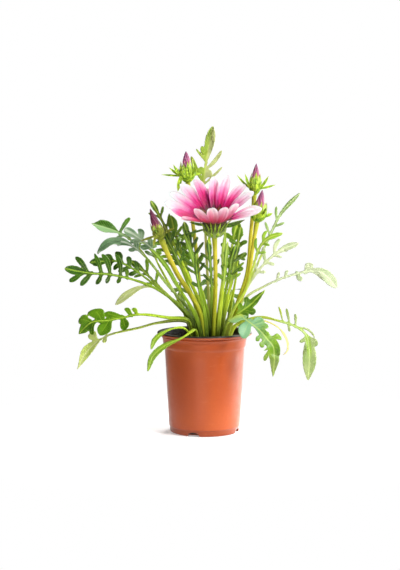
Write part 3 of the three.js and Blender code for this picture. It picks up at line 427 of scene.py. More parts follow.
def leaf_flesh(paint, look, across):
    """The upper side between its veins: two greens in patches, and what else the look has."""
    dark, light, rib = LOOKS[look].split()[:3]
    share = paint.value("share")
    flesh = paint.tint(dark, light, paint.cloud(0.05, 5), 0.25, 0.75)
    if look in CORES:
        bright = paint.times(paint.step(across, 0.8, 3.6, 0.9, 0), paint.step(share, 0.76, 0.88, 1, 0))
        flesh = paint.blend(bright, flesh, CORES[look])
    for way, halves in ((1, LEFT_HALVES), (-1, RIGHT_HALVES)):
        if look in halves:
            beyond = paint.times(paint.value("rib"), way)
            flesh = paint.tint(flesh, halves[look], beyond, -0.4, 0.8, 0, 0.85)
    if look in FEET:
        flesh = paint.tint(flesh, FEET[look], share, 0.5, 0.66, 0.85, 0)
    if look in TIPS:
        flesh = paint.tint(flesh, TIPS[look], share, 0.76, 0.92, 0, 0.8)
    return paint.tint(flesh, rib, paint.value("margin"), 0, 1.2, 0.3, 0)


def leaf_side(look, upper):
    """A leaf's smooth upper side with sunk veins, or its felted underside with raised ones."""
    _, light, rib, under, _, stalk = LOOKS[look].split()
    name = f"leaf_{look}_top" if upper else f"leaf_{look}_under"
    paint = Paint(name, 0.38 if upper else 0.65, Specular_IOR_Level=0.2)
    across = paint.maths("ABSOLUTE", paint.value("rib"))
    veins = leaf_veins(paint, across)
    if upper:
        flesh = leaf_flesh(paint, look, across)
    else:
        felt = paint.tint(under, light, paint.cloud(1.6, 5), 0.35, 0.65)
        flesh = paint.blend(0.28, under, felt)
    tone = paint.blend(paint.times(veins, 0.8 if upper else 0.75), flesh, rib)
    tone = paint.blend(paint.step(paint.value("green"), 0.3, 1), stalk, tone)
    depth = paint.plus(paint.times(veins, -1 if upper else 1), paint.times(paint.cloud(0.6, 2), 0.3))
    return paint.done(tone, depth, 0.25, 0.1)


def leaf_stalk(look):
    """The rib and stalk, streaked along their length; painted shade darkens the foot and some streaks."""
    _, _, rib, _, foot, top = LOOKS[look].split()
    paint = Paint(f"leaf_{look}_stalk", 0.45, Specular_IOR_Level=0.14)
    streaks = paint.cloud(0.5, 3, (1.6, 1.6, 0.12))
    # Painted shade: the stalk darkens towards its foot, and some streaks take the foot's dark colour.
    tone = paint.tint(foot, top, paint.value("share"), 0.06, 0.42)
    tone = paint.tint(tone, foot, streaks, 0.28, 0.5, 0.6, 0)
    tone = paint.tint(tone, rib, streaks, 0.52, 0.75, 0, 0.5)
    return paint.done(tone, streaks, 0.5, 0.3)


LEAF_PAINTS = {look: [leaf_side(look, True), leaf_side(look, False), leaf_stalk(look)] for look in LOOKS}

# ---- leaves
CELL = 1.0  # mesh size of a blade
LEAST_DEPTH = 0.06  # the grid's vertices keep this far from the margin
BLADE_MORE = 12  # how much further than its length a blade may reach at either end
SHEET = 0.22  # half the thickness of a blade
ROUND_TAPER = 0.75  # taper of a last lobe whose row doesn't give it
GREENING = 24  # the stalk's colour fades this far into a blade
SINUS = 1.3  # how widely a blade rounds out between two lobes
STALK_SIDES = 12
STALK_STEP = 3
SHEATH = 0.5  # how much wider a stalk is at its foot
WIDE_SHEATHS = {"left_1": 1.4, "left_3": 0.9, "left_7": 1.0, "clump_12": 0.9}
FACES = {"front": "0 -1 0.6, 0 -1 0.3", "up": "0 0 1, 0 0 1"}
Lobe = namedtuple("Lobe", "side length width angle middle foot bend tilt")
# One leaf between two slashes, with five fields: its name, look, half the width of its stalk and length
# of its blade; length, half width and taper of its last lobe; the way its upper side faces at its foot
# and tip; its route, which starts with an x and y at ROOT_DEPTH; its lobes, each with distance from the
# tip, side, length, width and angle. A row of four numbers stands for pairs of lobes: how many, the
# longest, width and angle.
LEAVES = """
left_1 deep 1.5 70; 25 4.6; 0 -0.5 1, 0.1 -1 0.4; -13 -9, -22 -13 124, -47 -20 151, -70 -26 162,
-100 -30 169, -116 -32 170, -144 -34 175; 17 1 13 6 50, 23 -1 19 6.4 50, 27 1 16 5.6 60, 38 -1 23 5.6 80,
38 1 12 5 75, 47 -1 23 5.4 78, 47 1 10 4.6 75, 58 -1 25 5.4 85, 58 1 8 4.4 80, 65 -1 10 4.4 80 /
left_2 lush 1.7 68; 20 5.6 1; 0 -0.4 1, 0 -0.8 0.7; -21 -15, -23 -21 120, -41 -28 124, -67 -34 128,
-83 -37 125, -99 -39 122, -116 -40 120, -129 -41 108; 15 -1 9 9 60, 20 1 15 8 48, 28 -1 16 13 72,
35 1 19 13 66, 48 -1 19 9 36, 50 1 16 9 94, 59 -1 11 6 78, 65 -1 9 5 85 /
left_3 lit 1.5 62; 44 5.2 1.3; 0 -0.3 1, 0.3 -0.7 0.7; -21 14, -27 18 114, -50 26 112, -70 32 106,
-105 40 96, -126 44 80, -139 45 58; 38 -1 12 9 85, 50 1 7 6 60 /
left_4 halved 1.3 48; 30 6 1.1; 0 -0.4 1, 0 -1 0.6; -8 15, -15 17 118, -37 20 150, -58 24 177,
-78 29 200, -93 31 209, -121 34 218; 32 -1 22 4.6 88, 36 1 8 4 60, 43 -1 9 4 70 /
left_5 blue 1.3 54; 42 7.6; 0 -0.4 1, 0 -0.7 0.8; -12 0, -19 2 124, -42 4 158, -60 6 182, -79 7 197,
-96 8 199, -113 8 187; 46 -1 9 6 60, 46 1 9 6 60 /
left_6 blue 1.3 40; 18 5; 0 -0.4 1, 0 -0.8 0.8; -9 7, -13 8 121, -30 12 153, -50 16 186, -71 19 204,
-86 21 211; 2 12 7 60 /
left_7 deep 1.3 58; 22 5; 0 -0.3 1, 0 -0.9 0.7; -19 -4, -21 -5 117, -41 -7 144, -61 -9 163,
-75 -10 173, -93 -11 181, -120 -12 178; 4 13 6 65 /
left_8 glow 1.2 44; 40 4.4; 0 -0.7 1, 0 -1 0.6; -14 21, -31 26 128, -52 36 148, -66 40 149, -81 43 142,
-97 45 129; /
front_1 lush 1.2 56; 50 3.2; 0 -0.2 1, 0 -1 0.2; -10 -27, -16 -36 112, -22 -46 112, -32 -54 106,
-43 -57 98, -53 -58 87, -58 -58 72; /
front_2 lush 1 32; 28 2.4; 0 -0.2 1, 0 -1 0.3; -22 -22, -25 -26 105, -31 -34 114, -38 -40 114,
-44 -43 110, -51 -46 103, -55 -47 93; /
right_1 teal 1.6 80; 60 6.2 1.1; 0 -0.6 1, 0.3 -1 0.3; 29 -18, 34 -25 115, 42 -36 128, 48 -44 124,
57 -48 113, 64 -50 104, 70 -51 96, 69 -52 66; 27 -1 12 4.4 24, 33 -1 6 5 62, 38 1 8 6 62, 41 -1 6 5 75,
48 -1 7 5 80, 56 1 10 7 58, 63 1 13 8 70, 66 -1 19 12 80, 75 -1 15 11 112 /
right_2 rolled 1.5 82; 48 7.2 0.95; 0 -0.4 1, 0 -1 0.3; 35 -13, 41 -10 112, 58 -9 122, 80 -14 118,
97 -18 112, 106 -20 104, 109 -21 87, 108 -22 57; 43 1 9 6 45, 46 -1 8 5 60, 58 1 16 2.2 32,
63 1 14 2.6 112, 70 1 19 2.8 116, 77 1 20 2.2 124, 70 -1 9 3 60 /
right_3 dry 0.8 30; 28 0.7; 0 -0.5 1, 0 -1 0.2; 35 4, 39 7 109, 50 10 116, 62 12 116, 75 11 111,
82 10 105, 88 9 94, 88 8 84, 83 8 79; /
right_4 pale 1.4 84; 34 6.4; 0 -0.4 1, 0 -1 0.35; 31 1, 38 0 123, 47 -2 143, 60 -6 153, 74 -10 160,
89 -13 166, 114 -16 171, 126 -17 165, 136 -18 153; 37 1 9 8 60, 47 -1 9 6 80, 60 1 7 3.6 60, 69 1 8 3.6 60 /
right_5 pale 1.3 66; 26 4; 0 -0.4 1, 0 -1 0.6; 26 17, 37 16 123, 44 16 144, 50 17 158, 63 19 175,
80 21 189, 101 23 197; 28 1 17 4.4 55, 29 -1 8 3.8 55, 41 1 17 4.2 60, 41 -1 9 3.8 60, 54 1 12 3.8 60,
54 -1 8 3.6 60 /
right_6 sage 1.2 68; 34 2.4; 0 -0.5 1, 0 -1 0.4; 17 22, 33 22 118, 43 26 142, 53 29 166, 71 33 207,
82 35 228, 103 36 250; 37 1 13 3 38, 45 -1 11 3 45, 55 1 14 3 42, 60 -1 10 3 50 /
right_7 fresh 1.2 44; 22 2.8; 0 -0.4 1, 0 -1 0.7; 24 -15, 34 -15 128, 43 -15 151, 51 -16 177,
58 -17 197, 67 -18 206, 81 -19 211; 22 1 11 3.4 48, 24 -1 8 3.4 55, 33 1 12 3.4 50, 35 -1 8 3.2 60 /
right_8 plain 1.3 56; 16 3.6; 0 -0.8 0.6, -0.4 -1 0.4; 16 8, 23 9 130, 30 10 160, 34 10 184, 36 10 202,
39 10 216; 3 12 5 60 /
top olive 1.5 76; 38 5.2; 0 -1 0.4, 0 -1 0.3; 6 25, 5 32 125, 3 41 168, 1 44 211, -1 45 255, 2 44 285,
9 41 322; 51 1 7 7 50, 33 1 11 4.4 34, 54 -1 8 8 50, 60 1 29 4.8 35, 69 1 10 6 42, 46 -1 25 4.6 46,
38 1 16 2.4 46, 62 -1 26 2.8 46 /
clump_1 deep 1.2 50; 17 3; front; -4 -5, -9 -6 128, -19 -7 160, -30 -8 186, -38 -8 202,
-46 -8 217; 3 16 3.8 50 /
clump_2 plain 1.2 50; 16 3.2; front; -2 4, -5 5 128, -17 8 160, -32 9 186, -45 10 203,
-53 10 212; 4 15 3.8 50 /
clump_3 plain 1.3 56; 18 3.4; front; 5 13, 1 18 128, -8 24 165, -16 28 195, -22 31 220; 4 15 3.4 48 /
clump_4 deep 1.3 54; 17 3.4; front; 3 2, 0 3 130, -8 2 165, -13 1 190, -19 -1 214; 4 15 3.2 48 /
clump_5 plain 1.4 48; 40 2; front; 17 -17, 18 -21 125, 20 -22 160, 22 -22 185, 24 -22 203; 1 8 4 50 /
clump_6 plain 1.3 46; 17 2.5; front; 23 3, 25 3 130, 28 3 160, 32 2 182, 36 2 200; 3 14 2.8 46 /
clump_7 deep 1.4 44; 34 2; front; 1 -22, -1 -26 125, -5 -28 150, -8 -29 172, -9 -30 192; 1 8 4 50 /
clump_8 deep 1.3 52; 19 2.6; front; 9 4, 8 5 130, 7 6 165, 4 7 203; 3 13 3 46 /
clump_9 plain 1.2 44; 18 3.4; front; -16 6, -22 7 117, -38 9 139, -52 11 156, -66 12 170,
-79 13 179; 2 14 3.6 54 /
clump_10 deep 1.3 42; 16 2.5; front; 18 -4, 20 -4 130, 25 -5 160, 28 -6 182, 33 -7 198; 2 13 2.8 46 /
clump_11 plain 1.2 60; 20 5.2 0.9; front; -4 10, -6 12 128, -15 18 160, -24 22 188, -32 25 210,
-36 27 227; 4 16 3.4 50 /
clump_12 deep 1.3 48; 42 2.2; front; -6 -21, -12 -24 122, -24 -29 150, -36 -32 172, -46 -34 186,
-56 -35 196; /
clump_13 deep 1.2 52; 46 1.9; front; 6 -12, 3 -15 125, -6 -18 160, -14 -19 190, -22 -20 212; /
clump_14 lush 1.2 40; 38 4 1.1; front; 24 -5, 30 -9 110, 40 -13 124, 52 -14 136,
64 -14 151; 25 1 7 6 40, 28 -1 8 7 50, 34 1 7 6 60, 36 -1 9 8 60 /
clump_15 plain 1.2 54; 16 2.6; front; 2 -8, -3 -7 128, -17 -3 165, -36 3 205, -49 8 230,
-57 10 243; 3 14 3 46 /
clump_16 plain 1.2 52; 44 2; front; 16 1, 17 1 130, 19 1 165, 20 0 190, 22 0 212; /
back_1 plain 1.5 70; 26 5.5; up; 12 16, 13 26 120, 8 48 150, 5 72 158, 4 95 146, 3 112 124; 2 14 7 62 /
back_2 plain 1.4 62; 24 5; up; 25 25, 27 35 120, 31 56 140, 34 76 142, 36 92 130, 38 104 112; 2 12 7 62 /
back_3 plain 1.4 62; 24 5; up; 1 32, -5 41 122, -18 58 145, -26 76 150, -31 92 138,
-33 104 118; 2 12 7 62 /
back_4 plain 1.3 60; 24 4.6; up; 31 18.5, 33 31 125, 35 52 163, 36 74 180, 36 94 176,
35 110 158; 3 12 6 60 /
back_5 plain 1.4 58; 24 5; up; -22 22, -30 34 125, -46 54 165, -60 74 188, -70 90 194,
-78 106 188; 3 12 7 62 /
back_6 plain 1.2 54; 44 4.6; up; 14 30, 16 41 114, 18 53 114, 20 64 101, 21 70 80, 21 72 58; 1 8 6 60 /
back_7 plain 1.3 60; 22 4.6; up; 20 14, 22 20 128, 26 32 165, 30 44 192, 34 56 210,
38 66 216; 3 14 6 58 /
back_8 plain 1.3 60; 22 4.6; up; -9 28, -13 35 126, -22 50 165, -30 64 190, -38 76 203,
-46 86 206; 3 14 6 58
"""


class Leaf:
    """One leaf, as a line and a flat plan in [s along its rib, t beside it]."""

    def __init__(self, row, seed):
        first, end, face, route, lobes = row.split(";")
        self.name, self.look, *sizes = first.split()
        self.stalk, self.blade = (float(size) for size in sizes)
        self.end = [*rows_of(end)[0], ROUND_TAPER][:3]
        self.line = Spine(gathered(rows_of(route)), rows_of(FACES.get(face.strip(), face)))
        self.start = self.line.length - self.blade - BLADE_MORE
        self.seed = seed
        self.lobes = []
        for number, (back, side, length, width, angle) in enumerate(self.lobe_rows(rows_of(lobes))):
            middle = self.line.length - back
            bend = mix(-0.012, 0.004, draw(seed + 3.7, number))
            tilt = mix(-0.16, 0.16, draw(seed + 5.1, number))
            foot = float(self.rib_width(middle))
            self.lobes.append(Lobe(side, length, width, math.radians(angle), middle, foot, bend, tilt))

    def lobe_rows(self, rows):
        """The rows of single lobes, where the table gives pairs."""
        if not rows or len(rows[0]) == 5:
            return rows
        (count, longest, width, angle), end = rows[0], self.end[0] * 0.9
        spacing = (self.blade - end) / count
        rows = []
        for pair in range(int(count)):
            for side in (1, -1):
                size = 0.6 + 0.4 * math.sin(math.pi * (pair + 0.7) / (count + 0.4))
                length = longest * size * mix(0.85, 1.15, draw(self.seed, 4 * pair + side))
                back = end + spacing * (pair + 0.35)
                rows.append([back, side, length, min(width, spacing * 0.85), angle])
        return rows

    def rib_width(self, s):
        """Half the width of the rib, its wing and the last lobe."""
        end_length, end_half, taper = self.end
        back = self.line.length - s
        stalk = mix(self.stalk, WING, smooth(back, self.blade + 8, self.blade - 8))
        share = np.clip(back / end_length, 0, 1)
        swell = np.sin(np.pi * np.minimum(1, share**taper * 0.98 + 0.02))
        tip = np.maximum(0.3, WING * share * (1 - swell * 0.3) + end_half * swell * 0.95)
        return np.where(back > end_length, stalk, tip)

    def lobe_at(self, lobe, s, t):
        """Distance out along a lobe, distance from its middle line, and distance out of it."""
        x, y = s - lobe.middle, t * lobe.side - lobe.foot
        out, beside = turned(x, y, -lobe.angle)
        beside = beside - lobe.bend * out * np.abs(out)
        share = np.clip(out / lobe.length, 0, 1)
        swell = 0.62 + 0.38 * np.sin(np.pi / 2 * np.minimum(1, share / 0.6)) ** 1.5
        close = np.sqrt(np.clip(1 - (np.clip(share - 0.6, 0, 1) / 0.4) ** 2.2, 0, 1))
        beyond = np.maximum(out - lobe.length, 0) + np.maximum(-3 - out, 0)
        return out, beside, np.abs(beside) - lobe.width / 2 * swell * close + beyond

    def field(self, s, t):
        """Negative inside the blade."""
        widen = smooth(s, self.start, self.start + 16)
        rib = np.abs(t) - self.rib_width(s) * widen
        inside = np.maximum(rib, np.maximum(s - self.line.length, self.start - s))
        for lobe in self.lobes:
            other = self.lobe_at(lobe, s, t)[2]
            near = np.clip(SINUS - np.abs(inside - other), 0, None) / SINUS
            inside = np.minimum(inside, other) - near**2 * SINUS / 4
        ripple = np.sin(1.15 * s + self.seed) * np.sin(0.9 * t + 2 * self.seed)
        return inside + 0.16 * ripple * widen

    def lift(self, s, t):
        """Height of the blade over its rib, and its lobe's out, share and beside numbers."""
        height = FOLD * (np.sqrt(t * t + 1) - 1) - SAG * t * t
        height = height + 0.45 * np.sin(0.31 * s + 2 * self.seed) * smooth(np.abs(t), 1.5, 8)
        best = np.full(s.shape, 1e9)
        out, beside, share, tilt = (np.zeros(s.shape) for _ in range(4))
        for lobe in self.lobes:
            x, y, inside = self.lobe_at(lobe, s, t)
            here = inside < best
            best = np.where(here, inside, best)
            out, beside = np.where(here, x, out), np.where(here, y, beside)
            share, tilt = np.where(here, x / lobe.length, share), np.where(here, lobe.tilt, tilt)
        cup = 0.13 * np.abs(beside) + tilt * beside - 0.5 * np.clip(share, 0, 1) ** 2
        return height + smooth(out, 0.5, 5) * cup, out, share, beside

    def widest(self):
        """How far the blade may reach from its rib."""
        reaches = [lobe.foot + lobe.length * math.sin(lobe.angle) + lobe.width / 2 for lobe in self.lobes]
        return max(self.rib_width(self.line.length - 5), 8, *reaches) + 2


def blade_mesh(leaf):
    """The plan cut out on a grid: its [s, t] spots, their distance from the margin, and the faces."""
    rows = np.arange(leaf.start - CELL, leaf.line.length + BLADE_MORE, CELL)
    columns = np.arange(-leaf.widest(), leaf.widest() + CELL, CELL)
    depth = leaf.field(*np.meshgrid(rows, columns, indexing="ij"))
    depth = np.where(depth < 0, np.minimum(depth, -LEAST_DEPTH), np.maximum(depth, LEAST_DEPTH))
    inside = depth < 0
    spots, margin, known, faces = [], [], {}, []

    def spot(key, s, t, inward):
        if key not in known:
            known[key] = len(spots)
            spots.append((s, t))
            margin.append(inward)
        return known[key]

    def crossing(a, b):
        share = depth[a] / (depth[a] - depth[b])
        s, t = mix(rows[a[0]], rows[b[0]], share), mix(columns[a[1]], columns[b[1]], share)
        return spot((min(a, b), max(a, b)), s, t, 0.0)

    some = inside[:-1, :-1] | inside[1:, :-1] | inside[1:, 1:] | inside[:-1, 1:]
    for i, j in np.argwhere(some).tolist():
        corners = [(i, j), (i + 1, j), (i + 1, j + 1), (i, j + 1)]
        face = []
        for here, after in zip(corners, corners[1:] + corners[:1]):
            if inside[here]:
                face.append(spot(here, rows[here[0]], columns[here[1]], -depth[here]))
            if inside[here] != inside[after]:
                face.append(crossing(here, after))
        faces.append(face)
    return np.array(spots), np.array(margin), faces


def add_sheets(skin, leaf):
    """The two sides of a blade, in an empty skin. They share the vertices on the margin."""
    spots, margin, faces = blade_mesh(leaf)
    s, t = spots.T
    height, out, share, beside = leaf.lift(s, t)
    body = SHEET * smooth(margin, 0, 0.7)
    values = dict(rib=t, vein=beside, out=out, reach=share, margin=margin, share=s / leaf.line.length,
                  green=smooth(s, leaf.start, leaf.start + GREENING))
    inner = np.flatnonzero(margin > 0)
    below = np.arange(len(s))
    below[inner] = len(s) + np.arange(len(inner))
    below = below.tolist()
    both = {key: np.concatenate([value, value[inner]]) for key, value in values.items()}
    lower = leaf.line.put(s, t, height - body)[inner]
    skin.add(np.concatenate([leaf.line.put(s, t, height + body), lower]), faces, 0, **both)
    skin.faces += [[below[corner] for corner in face[::-1]] for face in faces]
    skin.slots += [1] * len(faces)


def add_stalk(skin, leaf):
    """The stalk, grooved on its upper side. It thins into the rib under the blade."""
    turns = turns_of(STALK_SIDES)
    groove = 0.3 * np.exp(-((np.cos(turns) / 0.42) ** 2))
    flat = np.where(np.sin(turns) > 0, 0.55 * np.sin(turns) - groove, np.sin(turns))
    length = leaf.line.length
    wider = WIDE_SHEATHS.get(leaf.name, SHEATH)

    def section(s):
        in_blade = float(smooth(s, leaf.start, leaf.start + 20))
        far = max(0.0, (length - s) / (leaf.blade + BLADE_MORE))
        sheath = 1 + wider * float(smooth(s, 70, 20))
        half = leaf.stalk * mix(sheath, 0.62, in_blade) * min(1, 0.16 + far)
        return half * np.cos(turns), half * flat - in_blade * half * 0.45

    stations = np.linspace(0, length - STALK_STEP, int(length / STALK_STEP))
    green = smooth(stations, leaf.start, leaf.start + GREENING)
    add_tube(skin, leaf.line, stations, section, 2, share=stations / length, green=green)


def build_leaf(leaf):
    skin = Skin()
    add_sheets(skin, leaf)
    add_stalk(skin, leaf)
    node = "leaf_" + leaf.name
    blade = make_piece(node + "_blade", skin, LEAF_PAINTS[leaf.look], [node])
    # Light that grazes a thin blade falls off evenly, not facet by facet.
    blade.shadow_terminator_geometry_offset = 0.2


for number, row in enumerate(LEAVES.split("/")):
    build_leaf(Leaf(row, number + 1))

# ---- stems and bracts
SCAPE_SIDES = 36
SCAPE_RIBS = 12
SCAPE_STEP = 2.5
BRACT_COLUMNS = 5
BRACT_FOLD = 0.3
BRACT_THICKNESS = 0.5
BRACT_TWIST = 1.4


def add_scape(skin, route, radius):
    """A flower's stem, ribbed along its length. It swells a little under its head."""
    line = Spine(gathered(route))
    turns = turns_of(SCAPE_SIDES)
    ribbed = radius * (1 + 0.035 * np.cos(SCAPE_RIBS * turns))

    def section(s):
        out = ribbed * (1 + 0.3 * float(smooth(s, line.length - 14, line.length)))
        return out * np.cos(turns), out * np.sin(turns)

    stations = np.linspace(0, line.length, int(line.length / SCAPE_STEP))
    add_tube(skin, line, stations, section, share=stations / line.length)


def scape_paint():
    paint = Paint("scape_green", 0.45, Specular_IOR_Level=0.14)
    streaks = paint.cloud(0.8, 4, (1.5, 1.5, 0.1))
    tone = paint.ramp(paint.value("share"), "0 #60740c, 0.35 #9c9c1c, 0.85 #beb034, 1 #96a02c")
    tone = paint.tint(tone, "#a8ab2e", streaks, 0.4, 0.75, 0, 0.4)
    return paint.done(tone, paint.plus(streaks, paint.cloud(3.0, 2, (1, 1, 0.4))), 0.5, 0.25)


def green_paint(name, dark, light, edge, tip):
    """Bracts: green with paler edges, finely felted, and tinged towards the tip."""
    paint = Paint(name, 0.55, Specular_IOR_Level=0.25)
    across = paint.maths("ABSOLUTE", paint.value("across"))
    felt = paint.cloud(2.6, 4)
    tone = paint.tint(dark, light, paint.cloud(0.35, 4), 0.3, 0.7)
    tone = paint.tint(tone, edge, across, 0.55, 1, 0, 0.7)
    tone = paint.tint(tone, edge, across, 0.0, 0.16, 0.4, 0)
    tone = paint.tint(tone, tip, paint.value("share"), 0.72, 1.0, 0, 0.75)
    tone = paint.tint(tone, "#d5dcb4", felt, 0.55, 0.8, 0, 0.25)
    return paint.done(tone, felt)


def cup_paint():
    """The bloom's cup: pale and felted at its foot, with painted shade darkening it under the rays."""
    paint = Paint("cup_green", 0.6)
    share = paint.value("share")
    felt = paint.cloud(1.4, 5)
    # The dark end of the ramp, under the rays, is painted shade.
    tone = paint.ramp(share, "0 #8c9c50, 0.26 #9fae66, 0.34 #7d9440, 0.42 #3a3c12, 0.6 #2a1a10")
    pale = paint.times(paint.step(felt, 0.45, 0.75, 0, 0.35), paint.step(share, 0.34, 0.42, 1, 0.1))
    tone = paint.blend(pale, tone, "#c3cc98")
    return paint.done(tone, felt)


SCAPE = scape_paint()
BRACT = green_paint("bract_green", "#447a10", "#b2d02e", "#d8e45c", "#b6c440")
BRACT_DARK = green_paint("bract_dark", "#22400f", "#4c7a22", "#8ca444", "#40201c")
BRACT_OLIVE = green_paint("bract_olive", "#56660e", "#9aa428", "#ccc862", "#c0b050")
BRACT_TINGED = green_paint("bract_tinged", "#7cab2a", "#b6d244", "#e4e88c", "#b8607a")
CUP_GREEN = cup_paint()


def around_head(azimuth, points):
    """[radius, height] points of a petal or bract, set round its head. Azimuth 0 is the front."""
    turn = math.radians(azimuth)
    return [[radius * math.sin(turn), -radius * math.cos(turn), height] for radius, height in points]


def add_bract(skin, azimuth, points, half, slot, widest=0.4, root=0.75, rows=12, twist=0.0):
    """One pointed bract. Its foot has root share of its width, and it is widest at widest.

    twist turns its upper side to the front where it spreads to the left or right.
    """
    def outline(share):
        grow = root + (1 - root) * np.sin(np.pi / 2 * np.minimum(1, share / widest))
        close = np.clip(1 - (np.clip(share - widest, 0, 1) / (1 - widest)) ** 1.7, 0.04, 1)
        return grow * close

    def shape(share, across):
        return BRACT_FOLD * half * outline(share) * np.abs(across) ** 1.5

    face = [0, -twist * abs(math.sin(math.radians(azimuth))), 1]
    line = Spine(around_head(azimuth, points), [face, face])
    add_blade(skin, line, half, outline, (slot, slot), rows, BRACT_COLUMNS, shape, BRACT_THICKNESS)


def add_cup(skin, profile, sides, ribs, depth, end, slot, across):
    """A cup with ribs that fade out at its foot and again from end on, as shares of its profile."""
    def relief(turns, row):
        return 1 + depth * np.cos(ribs * turns) * float(smooth(row, 0.1, 0.6) * smooth(row, 1, end))

    add_turned(skin, profile, sides, relief, slot, share=np.linspace(0, 0.6, len(profile)), across=across)


# ---- open bloom
BLOOM_ROUTE = rows_of("10 -5, 11.5 -7 150, 11 -7.5 188, 10.3 -9 206.5")
BLOOM_AXIS = (0, -math.sin(math.radians(BLOOM_TILT)), math.cos(math.radians(BLOOM_TILT)))
CUP_HEIGHT = 18
BLOOM_CUP = rows_of("0.05 0, 2.9 0, 5 0.5, 7 1.5, 8.8 3, 10.1 4.8, 11 7, 11.5 9.4, 11.9 13, 12.2 18, "
                    "11 18, 0.05 18")
CUP_TEETH = 22
RAY_ROOT = 11.5
RAY_SEAT = CUP_HEIGHT + GAP
RAY_PLATE = 1.2
PLATE_SIDES = 48
RAY_TWIST = 0.8
RAY_THICKNESS = 0.45
RAY_GRID = (30, 15)
# Azimuth, reach, rise, half width and bow, as in the solids. Then how much sooner it turns pale than
# the others, as a share of its length, and the materials of its upper and lower side.
RAYS = rows_of("""
    356 43 30 5.8 3 0 0 1,        16 38 28 5.6 3 0 0 1,         38 37 29 6.3 3 0 0 1,
    66 46 17 5.6 0 0.06 0 1,      92 49 12 5.8 0 0 0 2,         117 46 23 5.8 -2 0 0 2,
    138 48 26 6.1 -3 -0.12 0 2,   160 42 35 6.3 -4 -0.05 0 2,   180 44 31 5.8 -4 -0.1 0 2,
    192 38 20 4.5 -4 -0.26 0 2,   205 48 29 6.1 -4 -0.2 0 2,    226 50 26 6.3 -3 -0.08 0 2,
    248 50 23 6.1 -1 -0.05 0 2,   269 52 19 5.8 0 -0.04 0 2,    289 47 17 5.6 1 0 2 2,
    310 44 13 5.4 0 -0.08 1 1,    333 42 27 6.1 3 0 0 1""")
DISC_RADIUS = 10.6
DISC_HEIGHT = 7.5
DISC_SIDES = 40
DISC_SEAT = RAY_SEAT + RAY_PLATE + GAP
FLORETS = 200
FLORET_SIDES = 6
GOLDEN_ANGLE = math.pi * (3 - math.sqrt(5))


def petal_paint(name, stops, stripe, spot=None):
    """Silky petals: a ramp from root to tip that runs out further along the middle."""
    paint = Paint(name, 0.5, Sheen_Weight=0.06, Sheen_Roughness=0.4, Specular_IOR_Level=0.3,
                  Subsurface_Weight=0.7, Subsurface_Scale=0.003, Subsurface_Radius=(1.0, 0.5, 0.6))
    share = paint.value("share")
    across = paint.maths("ABSOLUTE", paint.value("across"))
    lines = paint.maths("SINE", paint.times(paint.value("across"), 26))
    shift = paint.plus(paint.times(across, 0.1), paint.times(lines, 0.012))
    uneven = paint.times(paint.maths("SUBTRACT", paint.cloud(0.16, 4), 0.5), 0.2)
    along = paint.plus(paint.plus(share, paint.value("fade")), paint.plus(shift, uneven))
    tone = paint.ramp(along, stops)
    vein = paint.times(paint.step(lines, 0.5, 1.0, 0, 0.22), paint.step(along, 0.95, 0.55))
    tone = paint.blend(vein, tone, stripe)
    middle = paint.times(paint.step(across, 0.02, 0.2, 0.4, 0), paint.step(along, 0.9, 0.3))
    tone = paint.blend(middle, tone, stripe)
    if spot:
        blotch = paint.plus(share, paint.times(across, 0.12))
        tone = paint.tint(tone, "#4c0c26", blotch, 0.25, 0.31, 1, 0)
        tone = paint.tint(tone, spot, blotch, 0.19, 0.23, 1, 0)
    return paint.done(tone, paint.plus(lines, paint.times(paint.cloud(1.5, 4), 0.8)), 0.35, 0.12)


def ray_outline(share):
    swell = 0.36 + 0.68 * np.sin(np.pi / 2 * np.minimum(1, share / 0.6)) ** 1.15
    close = np.clip(1 - (np.clip(share - 0.62, 0, 1) / 0.38) ** 2.6, 0, 1) ** 0.62
    return swell * np.maximum(close, 0.03)


def add_ray(skin, number, azimuth, reach, rise, half, bow, fade, upper, lower):
    """One petal: cupped, creased and ruffled. Its tip curls up if it stands at the front."""
    front = azimuth < 60 or azimuth > 320
    curl = mix(0.6, 2.2, draw(41, number)) if front else mix(-1.2, 0.6, draw(43, number))
    twist = mix(-0.16, 0.16, draw(47, number))

    def shape(share, across):
        width = half * ray_outline(share)
        cup = 0.2 * width * np.abs(across) ** 1.4
        keel = 0.35 * np.cos(3 * np.pi * across) * smooth(share, 0.05, 0.4) * smooth(share, 1, 0.8)
        ruffle = 0.5 * np.sin(7 * share + 2.3 * number) * across * smooth(share, 0.3, 0.8)
        return cup - keel + ruffle + twist * width * across + curl * smooth(share, 0.72, 1.0)

    points = [[mix(RAY_ROOT, reach, share), RAY_SEAT + 0.75 + rise * share - bow * drop]
              for share, drop in ((0, 0), (0.33, 0.9), (0.68, 0.85), (1, 0))]
    sideways = float(smooth(abs(math.sin(math.radians(azimuth))), 0.6, 0.95))
    line = Spine(around_head(azimuth, points), [[0, 0, 1], [0, -RAY_TWIST * sideways, 1]])
    add_blade(skin, line, half, ray_outline, (int(upper), int(lower)), *RAY_GRID, shape, RAY_THICKNESS,
              fade=fade)


def build_rays():
    top = petal_paint("ray_inside", "0 #5e0830, 0.27 #a80c52, 0.37 #c42272, 0.48 #da6098, 0.6 #e496b4, "
                      "0.75 #eac0ce, 0.94 #eedae0", "#b0105a", "#463612")
    back = petal_paint("ray_outside", "0 #30061a, 0.14 #780c2e, 0.28 #cc2050, 0.45 #f44a78, "
                       "0.66 #ff84a2, 0.86 #ffb2c0, 1 #ffdade", "#d82c58")
    deep = petal_paint("ray_deep", "0 #3a0820, 0.3 #8a0c3c, 0.6 #b8205e, 0.84 #cc4880, 1 #e09cba", "#80103c")
    skin = Skin()
    rim = RAY_ROOT + 1.3
    low, high = RAY_SEAT, RAY_SEAT + RAY_PLATE
    add_turned(skin, [(AXIS, low), (rim, low), (rim, high), (AXIS, high)], PLATE_SIDES)
    for number, ray in enumerate(RAYS):
        add_ray(skin, number, *ray)
    skin.turn(BLOOM_ROUTE[-1], BLOOM_AXIS)
    make_piece("bloom_ray_petals", skin, [top, back, deep], ["bloom_rays"])


